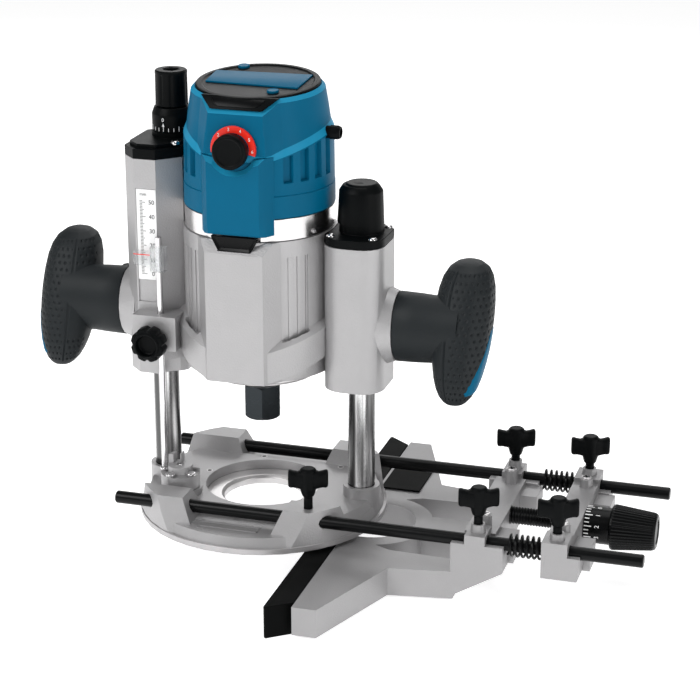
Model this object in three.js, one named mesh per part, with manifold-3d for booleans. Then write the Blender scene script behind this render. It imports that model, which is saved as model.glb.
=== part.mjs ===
// Plunge router with a parallel guide on its rods.
// Lengths are millimetres. +Z is up, +X runs along the guide rods towards the guide, +Y to the rear.
// The model is drawn about the spindle axis, with z = 0 on the underside of the sole.
import * as THREE from 'three';
import { mergeVertices } from 'three/addons/utils/BufferGeometryUtils.js';
import Module from 'manifold-3d';

const wasm = await Module();
wasm.setup();

// Driving dimensions

const gap = 0.3;
const overrun = 2;
const weldTolerance = 0.0001;

const soleRadius = 86.7;
const soleRearCut = 80;
const soleFloor = 10.4;
const deckTop = 16.5;
const rimHeight = 4;

const columnSpacing = 143;
const columnRadius = 9.3;
const columnFoot = 6;
const columnTop = 158;
const collarTop = 24.2;
const plungeTravel = 76;

const rodRadius = 4.4;
const rodHeight = 18;
const rodSpacing = 114;
const rodStart = -88;
const rodEnd = 278;

const housingBottom = 100.5;
const leftHousingTop = 251.5;
const rightHousingTop = 201;
const drumRadius = 51.8;
const drumBore = 46.8;
const barrelStep = 1;
const drumBottom = 110;
const drumTop = 207;
const motorTop = 303.9;
const motorTopSlope = 0.075;

const depthRodX = -61.8;
const depthRodY = -31.4;
const depthRodRadius = 2.15;
const depthRodTip = 34;
const turretX = -50.5;
const turretY = -31.5;

const gripHeight = 142.2;
const gripReach = 162;

const fenceBottom = -24;
const fenceTop = -1.8;
const fenceFace = 50.5;
const fenceThickness = 17;
const fenceHalfLength = 152;

const innerWingX = 168.2;
const outerWingX = 221;
const innerShoulderEnd = 186.8;
const outerCarriageStart = 212.2;
const adjusterHeight = 13.8;

const columnX = columnSpacing / 2;
const rodY = rodSpacing / 2;
const rodTop = rodHeight + rodRadius;
const barrelRadius = drumRadius - barrelStep;

// Materials

function finish(color, roughness, metalness) {
  return new THREE.MeshStandardMaterial({ color, roughness, metalness });
}

const castAluminium = finish(0xb9b9bb, 0.5, 0.7);
const machinedAluminium = finish(0xd3d3d3, 0.35, 0.8);
const polishedSteel = finish(0xc9c9cb, 0.15, 1);
const blackSteel = finish(0x1c1e20, 0.35, 0.8);
const blackPlastic = finish(0x1d1f21, 0.55, 0);
const gripRubber = finish(0x23272a, 0.75, 0);
const bluePlastic = finish(0x0a6c9c, 0.45, 0);
const paleLabel = finish(0xf2f2f2, 0.5, 0);
const clearPlastic = finish(0xdfe6e8, 0.1, 0);
const copper = finish(0xb4693a, 0.4, 0.9);
const siliconSteel = finish(0x6d6f72, 0.5, 0.8);
const bronze = finish(0xa98548, 0.4, 0.9);
const carbon = finish(0x2b2b2d, 0.7, 0);
const circuitGreen = finish(0x2f6b45, 0.6, 0);

// Shapes

const quarterTurn = Math.PI / 2;
const fineSides = 40;
const roundSides = 20;
const smallSides = 12;
const hexSides = 6;

function solidOf(geometry) {
  const bare = geometry.index ? geometry.toNonIndexed() : geometry.clone();
  bare.deleteAttribute('normal');
  bare.deleteAttribute('uv');
  const welded = mergeVertices(bare, weldTolerance);
  const corners = welded.index.array;
  const places = welded.attributes.position;
  const kept = [];
  let volume = 0;
  for (let i = 0; i < corners.length; i += 3) {
    const [a, b, c] = corners.slice(i, i + 3);
    if (a === b || b === c || c === a) continue;
    kept.push(a, b, c);
    const p = new THREE.Vector3().fromBufferAttribute(places, a);
    const q = new THREE.Vector3().fromBufferAttribute(places, b);
    const r = new THREE.Vector3().fromBufferAttribute(places, c);
    volume += p.dot(q.cross(r));
  }
  if (volume < 0) kept.reverse();
  const vertProperties = new Float32Array(places.array);
  return new wasm.Manifold(new wasm.Mesh({ numProp: 3, vertProperties, triVerts: new Uint32Array(kept) }));
}

function geometryOf(solid) {
  const mesh = solid.getMesh();
  const geometry = new THREE.BufferGeometry();
  geometry.setAttribute('position', new THREE.BufferAttribute(mesh.vertProperties, 3));
  geometry.setIndex(new THREE.BufferAttribute(mesh.triVerts, 1));
  geometry.computeVertexNormals();
  return geometry;
}

function join(first, ...others) {
  return geometryOf(others.reduce((sum, next) => sum.add(solidOf(next)), solidOf(first)));
}

function cut(body, ...tools) {
  return geometryOf(tools.reduce((rest, tool) => rest.subtract(solidOf(tool)), solidOf(body)));
}

function common(first, second) {
  return geometryOf(solidOf(first).intersect(solidOf(second)));
}

function block(x, y, z) {
  const [width, depth, height] = [x, y, z].map(([low, high]) => high - low);
  const [middleX, middleY, middleZ] = [x, y, z].map(([low, high]) => (low + high) / 2);
  return new THREE.BoxGeometry(width, depth, height).translate(middleX, middleY, middleZ);
}

// A block whose foot and top are different rectangles, each given as X and Y ranges.
function tapered(footX, footY, topX, topY, [low, high]) {
  const geometry = new THREE.BoxGeometry(1, 1, 1);
  const places = geometry.attributes.position;
  for (let i = 0; i < places.count; i += 1) {
    const isTop = places.getZ(i) > 0;
    const [rangeX, rangeY] = isTop ? [topX, topY] : [footX, footY];
    const x = places.getX(i) > 0 ? rangeX[1] : rangeX[0];
    const y = places.getY(i) > 0 ? rangeY[1] : rangeY[0];
    places.setXYZ(i, x, y, isTop ? high : low);
  }
  return geometry;
}

// An outline in X and Y, raised from low to high.
function plate(outline, [low, high]) {
  const shape = new THREE.Shape(outline.map(([x, y]) => new THREE.Vector2(x, y)));
  const depth = high - low;
  return new THREE.ExtrudeGeometry(shape, { depth, bevelEnabled: false }).translate(0, 0, low);
}

// An outline in X and Z, carried along Y.
function sidePlate(outline, [low, high]) {
  return plate(outline, [-high, -low]).rotateX(quarterTurn);
}

// An outline in Y and Z, carried along X.
function endPlate(outline, range) {
  return plate(outline, range).rotateX(quarterTurn).rotateZ(quarterTurn);
}

function mirrored(outline) {
  return outline.map(([x, y]) => [x, -y]).reverse();
}

function turned(profile, sides = roundSides) {
  const points = profile.map(([radius, z]) => new THREE.Vector2(radius, z));
  return new THREE.LatheGeometry(points, sides).rotateX(quarterTurn);
}

function bar(radius, [low, high], sides = roundSides) {
  return turned([[0, low], [radius, low], [radius, high], [0, high]], sides);
}

function ring(inner, outer, [low, high], sides = roundSides) {
  return turned([[inner, low], [outer, low], [outer, high], [inner, high], [inner, low]], sides);
}

function alongX(geometry) {
  return geometry.rotateY(quarterTurn);
}

// Turns +Z to -Y, so that a profile's height runs towards the front.
function towardsFront(geometry) {
  return geometry.rotateX(quarterTurn);
}

// A closed skin over rings of equal counts, closed by a fan at each end.
function loft(rings) {
  const sides = rings[0].length;
  const ends = [rings[0], rings[rings.length - 1]].map((points) => {
    const middle = new THREE.Vector3();
    points.forEach((point) => middle.add(point));
    return middle.divideScalar(sides);
  });
  const places = [...rings.flat(), ...ends].flatMap((point) => point.toArray());
  const faces = [];
  const first = rings.length * sides;
  for (let i = 0; i < sides; i += 1) {
    const next = (i + 1) % sides;
    for (let level = 0; level < rings.length - 1; level += 1) {
      const low = level * sides;
      const high = low + sides;
      faces.push(low + i, low + next, high + next, low + i, high + next, high + i);
    }
    const last = (rings.length - 1) * sides;
    faces.push(first, next, i, first + 1, last + i, last + next);
  }
  const geometry = new THREE.BufferGeometry();
  geometry.setAttribute('position', new THREE.Float32BufferAttribute(places, 3));
  geometry.setIndex(faces);
  return geometry;
}

// A range on the other side of zero when the side is -1.
function sided(side, range) {
  return range.map((value) => side * value).sort((a, b) => a - b);
}

const router = new THREE.Group();

function add(name, geometry, material) {
  const mesh = new THREE.Mesh(geometry, material);
  mesh.name = name;
  router.add(mesh);
  return mesh;
}

// Wing screws: a stem, a hub and two wings, standing on the rod that it clamps.

const wingSpan = 27;
const wingHeadHeight = 16;
const wingThickness = 6.5;
const wingRootThickness = 9;
const wingHubRadius = 5.6;
const wingNeckRadius = 4.2;
const wingNeckHeight = 4;
const wingStemRadius = 3;
const wingBore = wingStemRadius + gap;
const wingTurn = 0.3;

function wingScrew(x, y, top, turn = wingTurn) {
  const headLow = top - wingHeadHeight;
  const stem = bar(wingStemRadius, [rodTop + gap, top - wingNeckHeight], smallSides);
  const hub = turned([
    [0, headLow - wingNeckHeight],
    [wingNeckRadius, headLow - wingNeckHeight],
    [wingHubRadius, headLow],
    [wingHubRadius, top],
    [0, top],
  ], smallSides);
  const half = wingSpan / 2;
  const halfThickness = wingThickness / 2;
  const halfRoot = wingRootThickness / 2;
  const tipLow = headLow + wingNeckHeight / 2;
  const tipHigh = top - wingNeckHeight / 4;
  const rootTop = top - wingNeckHeight / 2;
  const outline = [
    [-half, tipLow],
    [0, headLow],
    [half, tipLow],
    [half, tipHigh],
    [0, rootTop],
    [-half, tipHigh],
  ];
  const wings = sidePlate(outline, [-halfThickness, halfThickness]);
  const root = block([-wingHubRadius, wingHubRadius], [-halfRoot, halfRoot], [headLow, rootTop]);
  return join(stem, hub, wings, root).rotateZ(turn).translate(x, y, 0);
}

// Base: a round sole with a raised deck, four humps for the guide rods and two collars for the columns.

const rimStep = 2.2;
const wallSlopeShare = 0.35;
const deckHalfWidth = 46;
const bushSeatRadius = 40.8;
const bushLedgeRadius = 36;
const bushLedgeTop = 3;
const bushRingTop = 9.5;
const bushHoleRadius = 28;
const bushHoleBevel = 2;
const collarRadius = 12.7;
const collarBore = columnRadius + gap;
const rodBore = rodRadius + gap;

const humpInner = 26;
const humpOuter = 82;
const humpTop = 27;
const humpTopInner = 36;
const humpTopOuter = 72;
const humpHalfWidth = 17;
const humpTopHalfWidth = 9;
const humpWallRadius = 86.4;
const humpWallTopRadius = 85.6;
const baseWingX = 51;
const baseWingTop = 56;

const turretRadius = 13.5;
const turretBossRadius = 15;
const turretBossTop = 20.7;
const turretBodyTop = 31;
const turretStepTop = 33.3;
const turretHubRadius = 8.6;
const turretHubTop = 43;
const turretNotchHalfWidth = 2;
const turretNotchX = -3;
const turretHubStep = 36.5;
const turretPinRadius = 2.4;
const turretPinFoot = 8;
const stopScrewRadius = 2.4;
const stopScrewCount = 3;
const stopScrewSpread = Math.PI * 0.42;
const stopScrewTop = depthRodTip - gap;

function rodHump(side, end) {
  const x = sided(side, [humpInner, humpOuter]);
  const topX = sided(side, [humpTopInner, humpTopOuter]);
  const y = [end * rodY - humpHalfWidth, end * rodY + humpHalfWidth];
  const topY = [end * rodY - humpTopHalfWidth, end * rodY + humpTopHalfWidth];
  return tapered(x, y, topX, topY, [rimHeight, humpTop]);
}

function baseCasting() {
  const wallRadius = soleRadius - rimStep;
  const slope = (height) => wallRadius - (height - rimHeight) * wallSlopeShare;
  const disc = turned([
    [bushLedgeRadius, 0],
    [soleRadius, 0],
    [soleRadius, rimHeight],
    [wallRadius, rimHeight],
    [slope(soleFloor), soleFloor],
    [bushSeatRadius, soleFloor],
    [bushSeatRadius, bushLedgeTop],
    [bushLedgeRadius, bushLedgeTop],
    [bushLedgeRadius, 0],
  ], fineSides);
  const deckRing = turned([
    [bushSeatRadius, rimHeight],
    [wallRadius - gap, rimHeight],
    [slope(deckTop) - gap, deckTop],
    [bushSeatRadius, deckTop],
    [bushSeatRadius, rimHeight],
  ], fineSides);
  const deckBand = block([-soleRadius, soleRadius], [-deckHalfWidth, deckHalfWidth], [0, humpTop]);
  const deck = common(deckRing, deckBand);
  const humps = [-1, 1].flatMap((side) => [-1, 1].map((end) => rodHump(side, end)));
  const humpLimit = turned([
    [0, rimHeight],
    [humpWallRadius, rimHeight],
    [humpWallTopRadius, humpTop],
    [0, humpTop],
  ], fineSides);
  const collars = [-columnX, columnX].map((x) => (
    bar(collarRadius, [rimHeight, collarTop]).translate(x, 0, 0)));
  const boss = bar(turretBossRadius, [rimHeight, turretBossTop]).translate(turretX, turretY, 0);
  const seatBore = bar(bushSeatRadius, [soleFloor, humpTop + overrun], fineSides);
  const raised = cut(common(join(...humps), humpLimit), seatBore);
  const body = join(disc, deck, raised, ...collars, boss);
  const rearCut = block(
    [-soleRadius, soleRadius], [soleRearCut, soleRadius + overrun], [-overrun, humpTop + overrun]);
  const columnBores = [-columnX, columnX].map((x) => (
    bar(collarBore, [columnFoot, collarTop + overrun]).translate(x, 0, 0)));
  const reach = soleRadius + overrun;
  const rodBores = [-rodY, rodY].map((y) => (
    alongX(bar(rodBore, [-reach, reach], smallSides)).translate(0, y, rodHeight)));
  const wingBores = [-rodY, rodY].map((y) => (
    bar(wingBore, [rodHeight, humpTop + overrun], smallSides).translate(baseWingX, y, 0)));
  const pinBore = bar(turretPinRadius + gap, [turretPinFoot, turretBossTop + overrun], smallSides)
    .translate(turretX, turretY, 0);
  return cut(body, rearCut, ...columnBores, ...rodBores, ...wingBores, pinBore);
}

function adaptorRing() {
  const outer = bushSeatRadius - gap;
  return turned([
    [bushHoleRadius, bushLedgeTop + gap],
    [outer, bushLedgeTop + gap],
    [outer, bushRingTop],
    [bushHoleRadius + bushHoleBevel, bushRingTop],
    [bushHoleRadius, bushRingTop - bushHoleBevel],
    [bushHoleRadius, bushLedgeTop + gap],
  ], fineSides);
}

add('base_casting', baseCasting(), castAluminium);
add('adaptor_ring', adaptorRing(), machinedAluminium);
add('base_wing_screw_front', wingScrew(baseWingX, -rodY, baseWingTop), blackPlastic);
add('base_wing_screw_rear', wingScrew(baseWingX, rodY, baseWingTop, wingTurn + quarterTurn), blackPlastic);

// Plunge columns: polished tubes closed at the foot, with a long spring inside each.

const columnWall = 2.9;
const columnFloor = 3;
const columnEdge = 0.6;
const springSleeve = 1.2;
const bootInnerTop = 235.5;

function column(x) {
  const foot = columnFoot + gap;
  const bore = columnRadius - columnWall;
  return turned([
    [0, foot],
    [columnRadius, foot],
    [columnRadius, columnTop - columnEdge],
    [columnRadius - columnEdge, columnTop],
    [bore, columnTop],
    [bore, foot + columnFloor],
    [0, foot + columnFloor],
  ]).translate(x, 0, 0);
}

function columnSpring(x, top) {
  const outer = columnRadius - columnWall - 2 * gap;
  const foot = columnFoot + gap + columnFloor + gap;
  return ring(outer - springSleeve, outer, [foot, top - gap], smallSides).translate(x, 0, 0);
}

add('column_left', column(-columnX), polishedSteel);
add('column_right', column(columnX), polishedSteel);
add('column_spring_left', columnSpring(-columnX, leftHousingTop + gap), blackSteel);
add('column_spring_right', columnSpring(columnX, bootInnerTop), blackSteel);

// Turret stop: a turning disc with stop screws round it and a stepped hub.

const stopCircle = Math.hypot(depthRodX - turretX, depthRodY - turretY);
const stopAngle = Math.atan2(depthRodY - turretY, depthRodX - turretX);

function turret() {
  const foot = turretBossTop + gap;
  const body = bar(turretRadius, [foot, turretBodyTop]);
  const lowHub = bar(turretHubRadius, [foot, turretHubStep]);
  const highHub = common(
    bar(turretHubRadius, [foot, turretHubTop]),
    block([-turretRadius, 0], [0, turretRadius], [foot, turretHubTop]),
  );
  const rearStep = common(
    bar(turretRadius, [foot, turretStepTop]),
    block([-turretRadius, turretRadius], [turretHubRadius / 2, turretRadius], [foot, turretStepTop]),
  );
  const screws = Array.from({ length: stopScrewCount }, (_, i) => {
    const angle = stopAngle + i * stopScrewSpread;
    const [x, y] = [stopCircle * Math.cos(angle), stopCircle * Math.sin(angle)];
    return bar(stopScrewRadius, [foot, stopScrewTop], smallSides).translate(x, y, 0);
  });
  const rim = bar(turretRadius, [foot, turretHubTop]);
  const notch = block(
    [turretNotchX - turretNotchHalfWidth, turretNotchX + turretNotchHalfWidth],
    [-gap, turretRadius],
    [turretHubStep, turretHubTop + overrun]);
  const whole = common(join(body, lowHub, cut(highHub, notch), rearStep, ...screws), rim);
  const bore = bar(turretPinRadius + gap, [0, turretHubTop + overrun], smallSides);
  return cut(whole, bore).translate(turretX, turretY, 0);
}

function turretPin() {
  return bar(turretPinRadius, [turretPinFoot + gap, turretHubStep], smallSides)
    .translate(turretX, turretY, 0);
}

add('depth_turret', turret(), castAluminium);
add('turret_pin', turretPin(), polishedSteel);

// Guide rods

const rodEdge = 0.8;

function guideRod(y) {
  const start = y < 0 ? rodStart : rodStart + rodRadius;
  return alongX(turned([
    [0, start],
    [rodRadius - rodEdge, start],
    [rodRadius, start + rodEdge],
    [rodRadius, rodEnd - rodEdge],
    [rodRadius - rodEdge, rodEnd],
    [0, rodEnd],
  ])).translate(0, y, rodHeight);
}

add('guide_rod_front', guideRod(-rodY), blackSteel);
add('guide_rod_rear', guideRod(rodY), blackSteel);

// Carriage casting: the motor drum between two housings that slide on the columns.

const leftHousingOuter = -89.2;
const leftHousingInner = -49.3;
const leftFaceStart = -79.4;
const leftFaceEnd = -63.6;
const housingFront = -28;
const leftCornerFront = -18;
const leftCornerInner = -13.7;

const rightHousingOuter = 91.3;
const rightHousingInner = 50;
const rightHousingRear = 21;
const rightCornerRadius = 15;
const rightBevel = 11;

const panelHalfWidth = 20;
const panelFront = -55;
const panelSideHalfWidth = 28.7;
const panelSideFront = -43.1;
const panelBevelLow = 199.4;
const panelBevelFront = -47.8;
const skirtRadius = 57;
const skirtFoot = [109.6, 127.3];
const skirtTop = [131, 147.7];
const skirtShoulder = [137.9, 151.6];
const skirtSpread = [Math.PI / 10, Math.PI * 0.445];
const skirtSteps = 8;
const drumFloor = 4;
const lowerPlateRadius = 42;

const clampBlockX = [-79, -48];
const clampBlockZ = [122, 146];
const clampBlockFront = -39.5;
const clampX = -64.5;
const clampZ = 128.7;
const clampShaftRadius = 2.4;

const bushRadius = 11.7;
const bushLength = 29;
const stemHalfHeight = 24.2;
const stemDepthShare = 0.83;
const bossFlare = 5;
const bossInset = 8;
const bossFace = 97;

const rulerX = [-77.9, -63.9];
const rulerZ = [168, 231];
const rulerRecessLow = 152;
const rulerThickness = 0.7;
const rulerRecess = rulerThickness + gap;

const lockButtonHalfWidth = 16;
const lockButtonFootHalfWidth = 11;
const lockButtonZ = [201, 210.9];
const lockButtonY = [-54, -49.4];
const lockTravel = 4;

const capTongueX = [-56, -48];
const capTongueY = [16, 27.5];
const capTongueFoot = 209;
const leverPivot = [-70, 152];
const leverPinRadius = 3;
const leverPinLength = 8;

const fluteSpread = [0.59, 0.98];
const fluteCount = 3;
const fluteWidth = 4;
const fluteDepth = 0.8;
const fluteZ = [138, 196];

const leftHousingOutline = [
  [leftFaceStart, housingFront],
  [leftFaceEnd, housingFront],
  [leftHousingInner, leftCornerInner],
  [leftHousingInner, -leftCornerInner],
  [leftFaceEnd, -housingFront],
  [leftFaceStart, -housingFront],
  [leftHousingOuter, -leftCornerFront],
  [leftHousingOuter, leftCornerFront],
];

function arc(x, y, radius, from, to, steps) {
  return Array.from({ length: steps + 1 }, (_, i) => {
    const angle = from + ((to - from) * i) / steps;
    return [x + radius * Math.cos(angle), y + radius * Math.sin(angle)];
  });
}

const cornerSteps = 5;
const rightFront = housingFront + rightCornerRadius;
const rightCornerX = [rightHousingInner + rightCornerRadius, rightHousingOuter - rightCornerRadius];
const rightHousingOutline = [
  ...arc(rightCornerX[0], rightFront, rightCornerRadius, -Math.PI, -quarterTurn, cornerSteps),
  ...arc(rightCornerX[1], rightFront, rightCornerRadius, -quarterTurn, 0, cornerSteps),
  [rightHousingOuter, rightHousingRear - rightBevel],
  [rightHousingOuter - rightBevel, rightHousingRear],
  [rightHousingInner, rightHousingRear],
];

function handleBoss(side) {
  const root = stemHalfHeight + bossFlare;
  const start = bossFace - bossInset - bossFlare;
  return alongX(turned([[0, start], [root, start], [stemHalfHeight, bossFace], [0, bossFace]]))
    .scale(side, stemDepthShare, 1)
    .translate(0, 0, gripHeight);
}

// The skirt's foot, its top edge and the foot of the drum's wall above its chamfer all rise to the side.
function skirt(side) {
  const rings = Array.from({ length: skirtSteps + 1 }, (_, i) => {
    const share = i / skirtSteps;
    const angle = skirtSpread[0] + share * (skirtSpread[1] - skirtSpread[0]);
    const [foot, top, shoulder] = [skirtFoot, skirtTop, skirtShoulder].map(([low, high]) => (
      low + share * (high - low)));
    const inner = drumBore + gap;
    const wall = drumRadius - overrun;
    return [[inner, foot], [skirtRadius, foot], [skirtRadius, top], [wall, shoulder], [inner, shoulder]]
      .map(([radius, z]) => (
        new THREE.Vector3(side * radius * Math.sin(angle), -radius * Math.cos(angle), z)));
  });
  return loft(rings);
}

// A shallow panel in the drum's wall with deeper grooves in it.
function flutes(side) {
  const [from, to] = fluteSpread.map((angle) => side * angle);
  const wedge = plate([
    [0, 0],
    [2 * drumRadius * Math.sin(from), -2 * drumRadius * Math.cos(from)],
    [2 * drumRadius * Math.sin(to), -2 * drumRadius * Math.cos(to)],
  ], fluteZ);
  const recess = common(ring(drumRadius - fluteDepth, drumRadius + overrun, fluteZ, fineSides), wedge);
  const grooves = Array.from({ length: fluteCount }, (_, i) => {
    const angle = from + ((i + 1 / 2) * (to - from)) / fluteCount;
    const y = [-drumRadius - overrun, 2 * fluteDepth - drumRadius];
    return block([-fluteWidth / 2, fluteWidth / 2], y, fluteZ).rotateZ(angle);
  });
  return [recess, ...grooves];
}

function lockButtonPocket() {
  const half = lockButtonHalfWidth + 2 * gap;
  const foot = lockButtonFootHalfWidth + gap;
  const y = [panelFront - overrun, lockButtonY[1] + lockTravel + gap];
  return tapered([-foot, foot], y, [-half, half], y, [lockButtonZ[0] - gap, lockButtonZ[1] + gap]);
}

function carriageCasting() {
  const drum = bar(drumRadius, [drumBottom, drumTop], fineSides);
  const bevelled = endPlate([
    [panelFront, drumBottom],
    [0, drumBottom],
    [0, drumTop],
    [panelBevelFront, drumTop],
    [panelFront, panelBevelLow],
  ], [-panelSideHalfWidth, panelSideHalfWidth]);
  const faceted = plate([
    [-panelHalfWidth, panelFront],
    [panelHalfWidth, panelFront],
    [panelSideHalfWidth, panelSideFront],
    [panelSideHalfWidth, 0],
    [-panelSideHalfWidth, 0],
    [-panelSideHalfWidth, panelSideFront],
  ], [drumBottom, drumTop]);
  const panel = common(bevelled, faceted);
  const leftHousing = plate(leftHousingOutline, [housingBottom, leftHousingTop]);
  const rightHousing = plate(rightHousingOutline, [housingBottom, rightHousingTop]);
  const clampBlock = block(clampBlockX, [clampBlockFront, housingFront / 2], clampBlockZ);
  const body = join(
    drum, panel, skirt(1), skirt(-1), leftHousing, rightHousing, clampBlock, handleBoss(1), handleBoss(-1));

  const drumHole = bar(drumBore, [drumBottom + drumFloor, leftHousingTop + overrun], fineSides);
  const plateHole = bar(lowerPlateRadius + gap, [0, leftHousingTop], fineSides);
  const motorSweep = bar(barrelRadius + 3 * gap, [drumTop + gap, leftHousingTop + overrun], fineSides);
  const barrelSeat = ring(drumBore - overrun, barrelRadius + gap, [drumTop, drumTop + overrun], fineSides);
  const columnHoles = [-columnX, columnX].map((x) => (
    bar(collarBore + gap, [0, leftHousingTop + overrun]).translate(x, 0, 0)));
  const bushHoles = [-columnX, columnX].map((x) => (
    bar(bushRadius + gap, [0, housingBottom + bushLength + 2 * gap]).translate(x, 0, 0)));
  const turretPocket = bar(turretRadius + 2 * gap, [0, stopScrewTop + plungeTravel + gap])
    .translate(turretX, turretY, 0);
  const hubPocket = bar(turretHubRadius + 2 * gap, [0, turretHubTop + plungeTravel + 2 * gap], smallSides)
    .translate(turretX, turretY, 0);
  const rodHole = bar(depthRodRadius + gap, [0, clampBlockZ[1] + overrun], smallSides)
    .translate(depthRodX, depthRodY, 0);
  const clampReach = [-depthRodY, overrun - clampBlockFront];
  const clampHole = towardsFront(bar(clampShaftRadius + gap, clampReach, smallSides))
    .translate(clampX, 0, clampZ);
  const rulerPocket = block(
    [rulerX[0] - gap, rulerX[1] + gap],
    [housingFront - overrun, housingFront + rulerRecess],
    [rulerRecessLow, rulerZ[1] + gap],
  );
  const tonguePocket = block(
    [capTongueX[0] - gap, leftHousingInner + overrun],
    [capTongueY[0] - gap, -housingFront + overrun],
    [capTongueFoot - gap, leftHousingTop + overrun],
  );
  const leverReach = [-housingFront - leverPinLength, -housingFront + overrun];
  const leverHole = bar(leverPinRadius + gap, leverReach, smallSides)
    .rotateX(-quarterTurn)
    .translate(leverPivot[0], 0, leverPivot[1]);
  return cut(
    body, drumHole, plateHole, motorSweep, barrelSeat, ...columnHoles, ...bushHoles,
    turretPocket, hubPocket, rodHole, clampHole, rulerPocket, lockButtonPocket(), tonguePocket, leverHole,
    ...flutes(1), ...flutes(-1));
}

add('carriage_casting', carriageCasting(), castAluminium);

// Columns run in bronze bushes pressed into the foot of each housing.

function columnBush(x) {
  const foot = housingBottom + gap;
  return ring(collarBore, bushRadius, [foot, foot + bushLength]).translate(x, 0, 0);
}

add('column_bush_left', columnBush(-columnX), bronze);
add('column_bush_right', columnBush(columnX), bronze);

// Motor: end plate, steel barrel, plastic housing and top cap.

const lowerPlateFoot = 103.2;
const flangeThickness = 4;
const bearingRadius = 16;
const bearingFoot = 104.6;
const bearingHeight = 9;
const neckRadius = 8;
const shaftRadius = 7;
const upperShaftRadius = 4;
const barrelBore = 43.4;
const barrelTop = 222;

const motorWall = 3;
const motorFoot = barrelTop + gap;
const motorHeight = motorTop - motorFoot;
const motorFootRadius = 51;
const motorWaistRadius = 50.3;
const motorWaistShare = 0.22;
const motorShoulderRadius = 49.4;
const motorShoulderShare = 0.645;
const motorUpperRadius = 48;
const motorUpperShare = 0.7;
const motorRimRadius = 44.9;
const motorRimShare = 0.945;
const apronHalfWidth = 24;
const apronUpperHalfWidth = 22;
const apronTopHalfWidth = 18;
const apronFront = -54;
const apronUpperFront = -50.3;
const apronTopFront = -45.9;
const apronFoot = 211.7;
const apronLedgeShare = 0.49;
const dialCupRadius = 15;
const capRadius = 41.8;
const capThickness = 6;
const visorHinge = -29;
const visorSlope = 0.5;
const visorHalfWidth = 26;
const visorFrontHalfWidth = 18;
const visorFront = -45.8;
const bridgeShare = 0.28;
const bridgeHeight = motorFoot + bridgeShare * motorHeight;
const bridgeThickness = 4;
const upperBearingRadius = 11;
const upperBearingHeight = 8;
const spindleTop = bridgeHeight + upperBearingHeight;
const ventCount = 4;
const ventRadius = 9;
const ventCircle = 30;

const dialShare = 0.572;
const dialZ = motorFoot + dialShare * motorHeight;
const dialRadius = 12;
const dialThickness = 10.7;
const dialShaftRadius = 2.6;
const dialShaftLength = 4;

const glandX = 58;
const glandRadius = 4.8;
const glandNeckRadius = 4.2;
const glandBore = 2.9;
const glandY = -3;
const glandShare = 0.621;
const glandZ = motorFoot + glandShare * motorHeight;

function lowerEndPlate() {
  const top = drumBottom + drumFloor;
  const flangeFoot = top + gap;
  const seat = bearingRadius + gap;
  return turned([
    [neckRadius + 2 * gap, lowerPlateFoot],
    [lowerPlateRadius - overrun, lowerPlateFoot],
    [lowerPlateRadius, lowerPlateFoot + overrun],
    [lowerPlateRadius, flangeFoot],
    [drumBore - gap, flangeFoot],
    [drumBore - gap, flangeFoot + flangeThickness],
    [seat, flangeFoot + flangeThickness],
    [seat, bearingFoot - gap],
    [neckRadius + 2 * gap, bearingFoot - gap],
    [neckRadius + 2 * gap, lowerPlateFoot],
  ], fineSides);
}

function motorBarrel() {
  const foot = drumBottom + drumFloor + gap + flangeThickness + gap;
  const body = turned([
    [barrelBore, foot],
    [drumBore - gap, foot],
    [drumBore - gap, drumTop + gap],
    [barrelRadius, drumTop + gap],
    [barrelRadius, barrelTop],
    [barrelBore, barrelTop],
    [barrelBore, foot],
  ], fineSides);
  const half = lockButtonHalfWidth + 2 * gap;
  const notch = block(
    [-half, half],
    [-barrelRadius - overrun, lockButtonY[1] + lockTravel + gap],
    [lockButtonZ[0] - gap, lockButtonZ[1] + 2 * gap],
  );
  return cut(body, notch);
}

// Everything above the top plane and above the visor's steeper one in front, both this far down.
function aboveTop(drop) {
  const reach = 2 * soleRadius;
  const above = [[-reach, reach], [-reach, reach], [0, reach]];
  const hingeZ = motorTop + motorTopSlope * visorHinge;
  const flat = block(...above).rotateX(Math.atan(motorTopSlope)).translate(0, 0, motorTop - drop);
  const steep = block(...above).rotateX(Math.atan(visorSlope)).translate(0, visorHinge, hingeZ - drop);
  return join(flat, steep);
}

function motorShell(inset, foot) {
  const height = motorHeight;
  return turned([
    [0, foot],
    [motorFootRadius - inset, foot],
    [motorWaistRadius - inset, motorFoot + motorWaistShare * height],
    [motorShoulderRadius - inset, motorFoot + motorShoulderShare * height],
    [motorUpperRadius - inset, motorFoot + motorUpperShare * height],
    [motorRimRadius - inset, motorFoot + motorRimShare * height],
    [motorRimRadius - inset, motorTop + capThickness],
    [0, motorTop + capThickness],
  ], fineSides);
}

// The flat front: a proud lower half with a cup round the dial, and a narrower upper half that leans back.
function apron() {
  const ledge = motorFoot + apronLedgeShare * motorHeight;
  const lowerX = [-apronHalfWidth, apronHalfWidth];
  const lower = block(lowerX, [apronFront, 0], [apronFoot, ledge]);
  const cup = towardsFront(bar(dialCupRadius, [-apronUpperFront, -apronFront + overrun], smallSides))
    .translate(0, 0, dialZ);
  const upper = tapered(
    [-apronUpperHalfWidth, apronUpperHalfWidth], [apronUpperFront, 0],
    [-apronTopHalfWidth, apronTopHalfWidth], [apronTopFront, 0],
    [ledge - overrun, motorTop]);
  return join(cut(lower, cup), upper);
}

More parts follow.
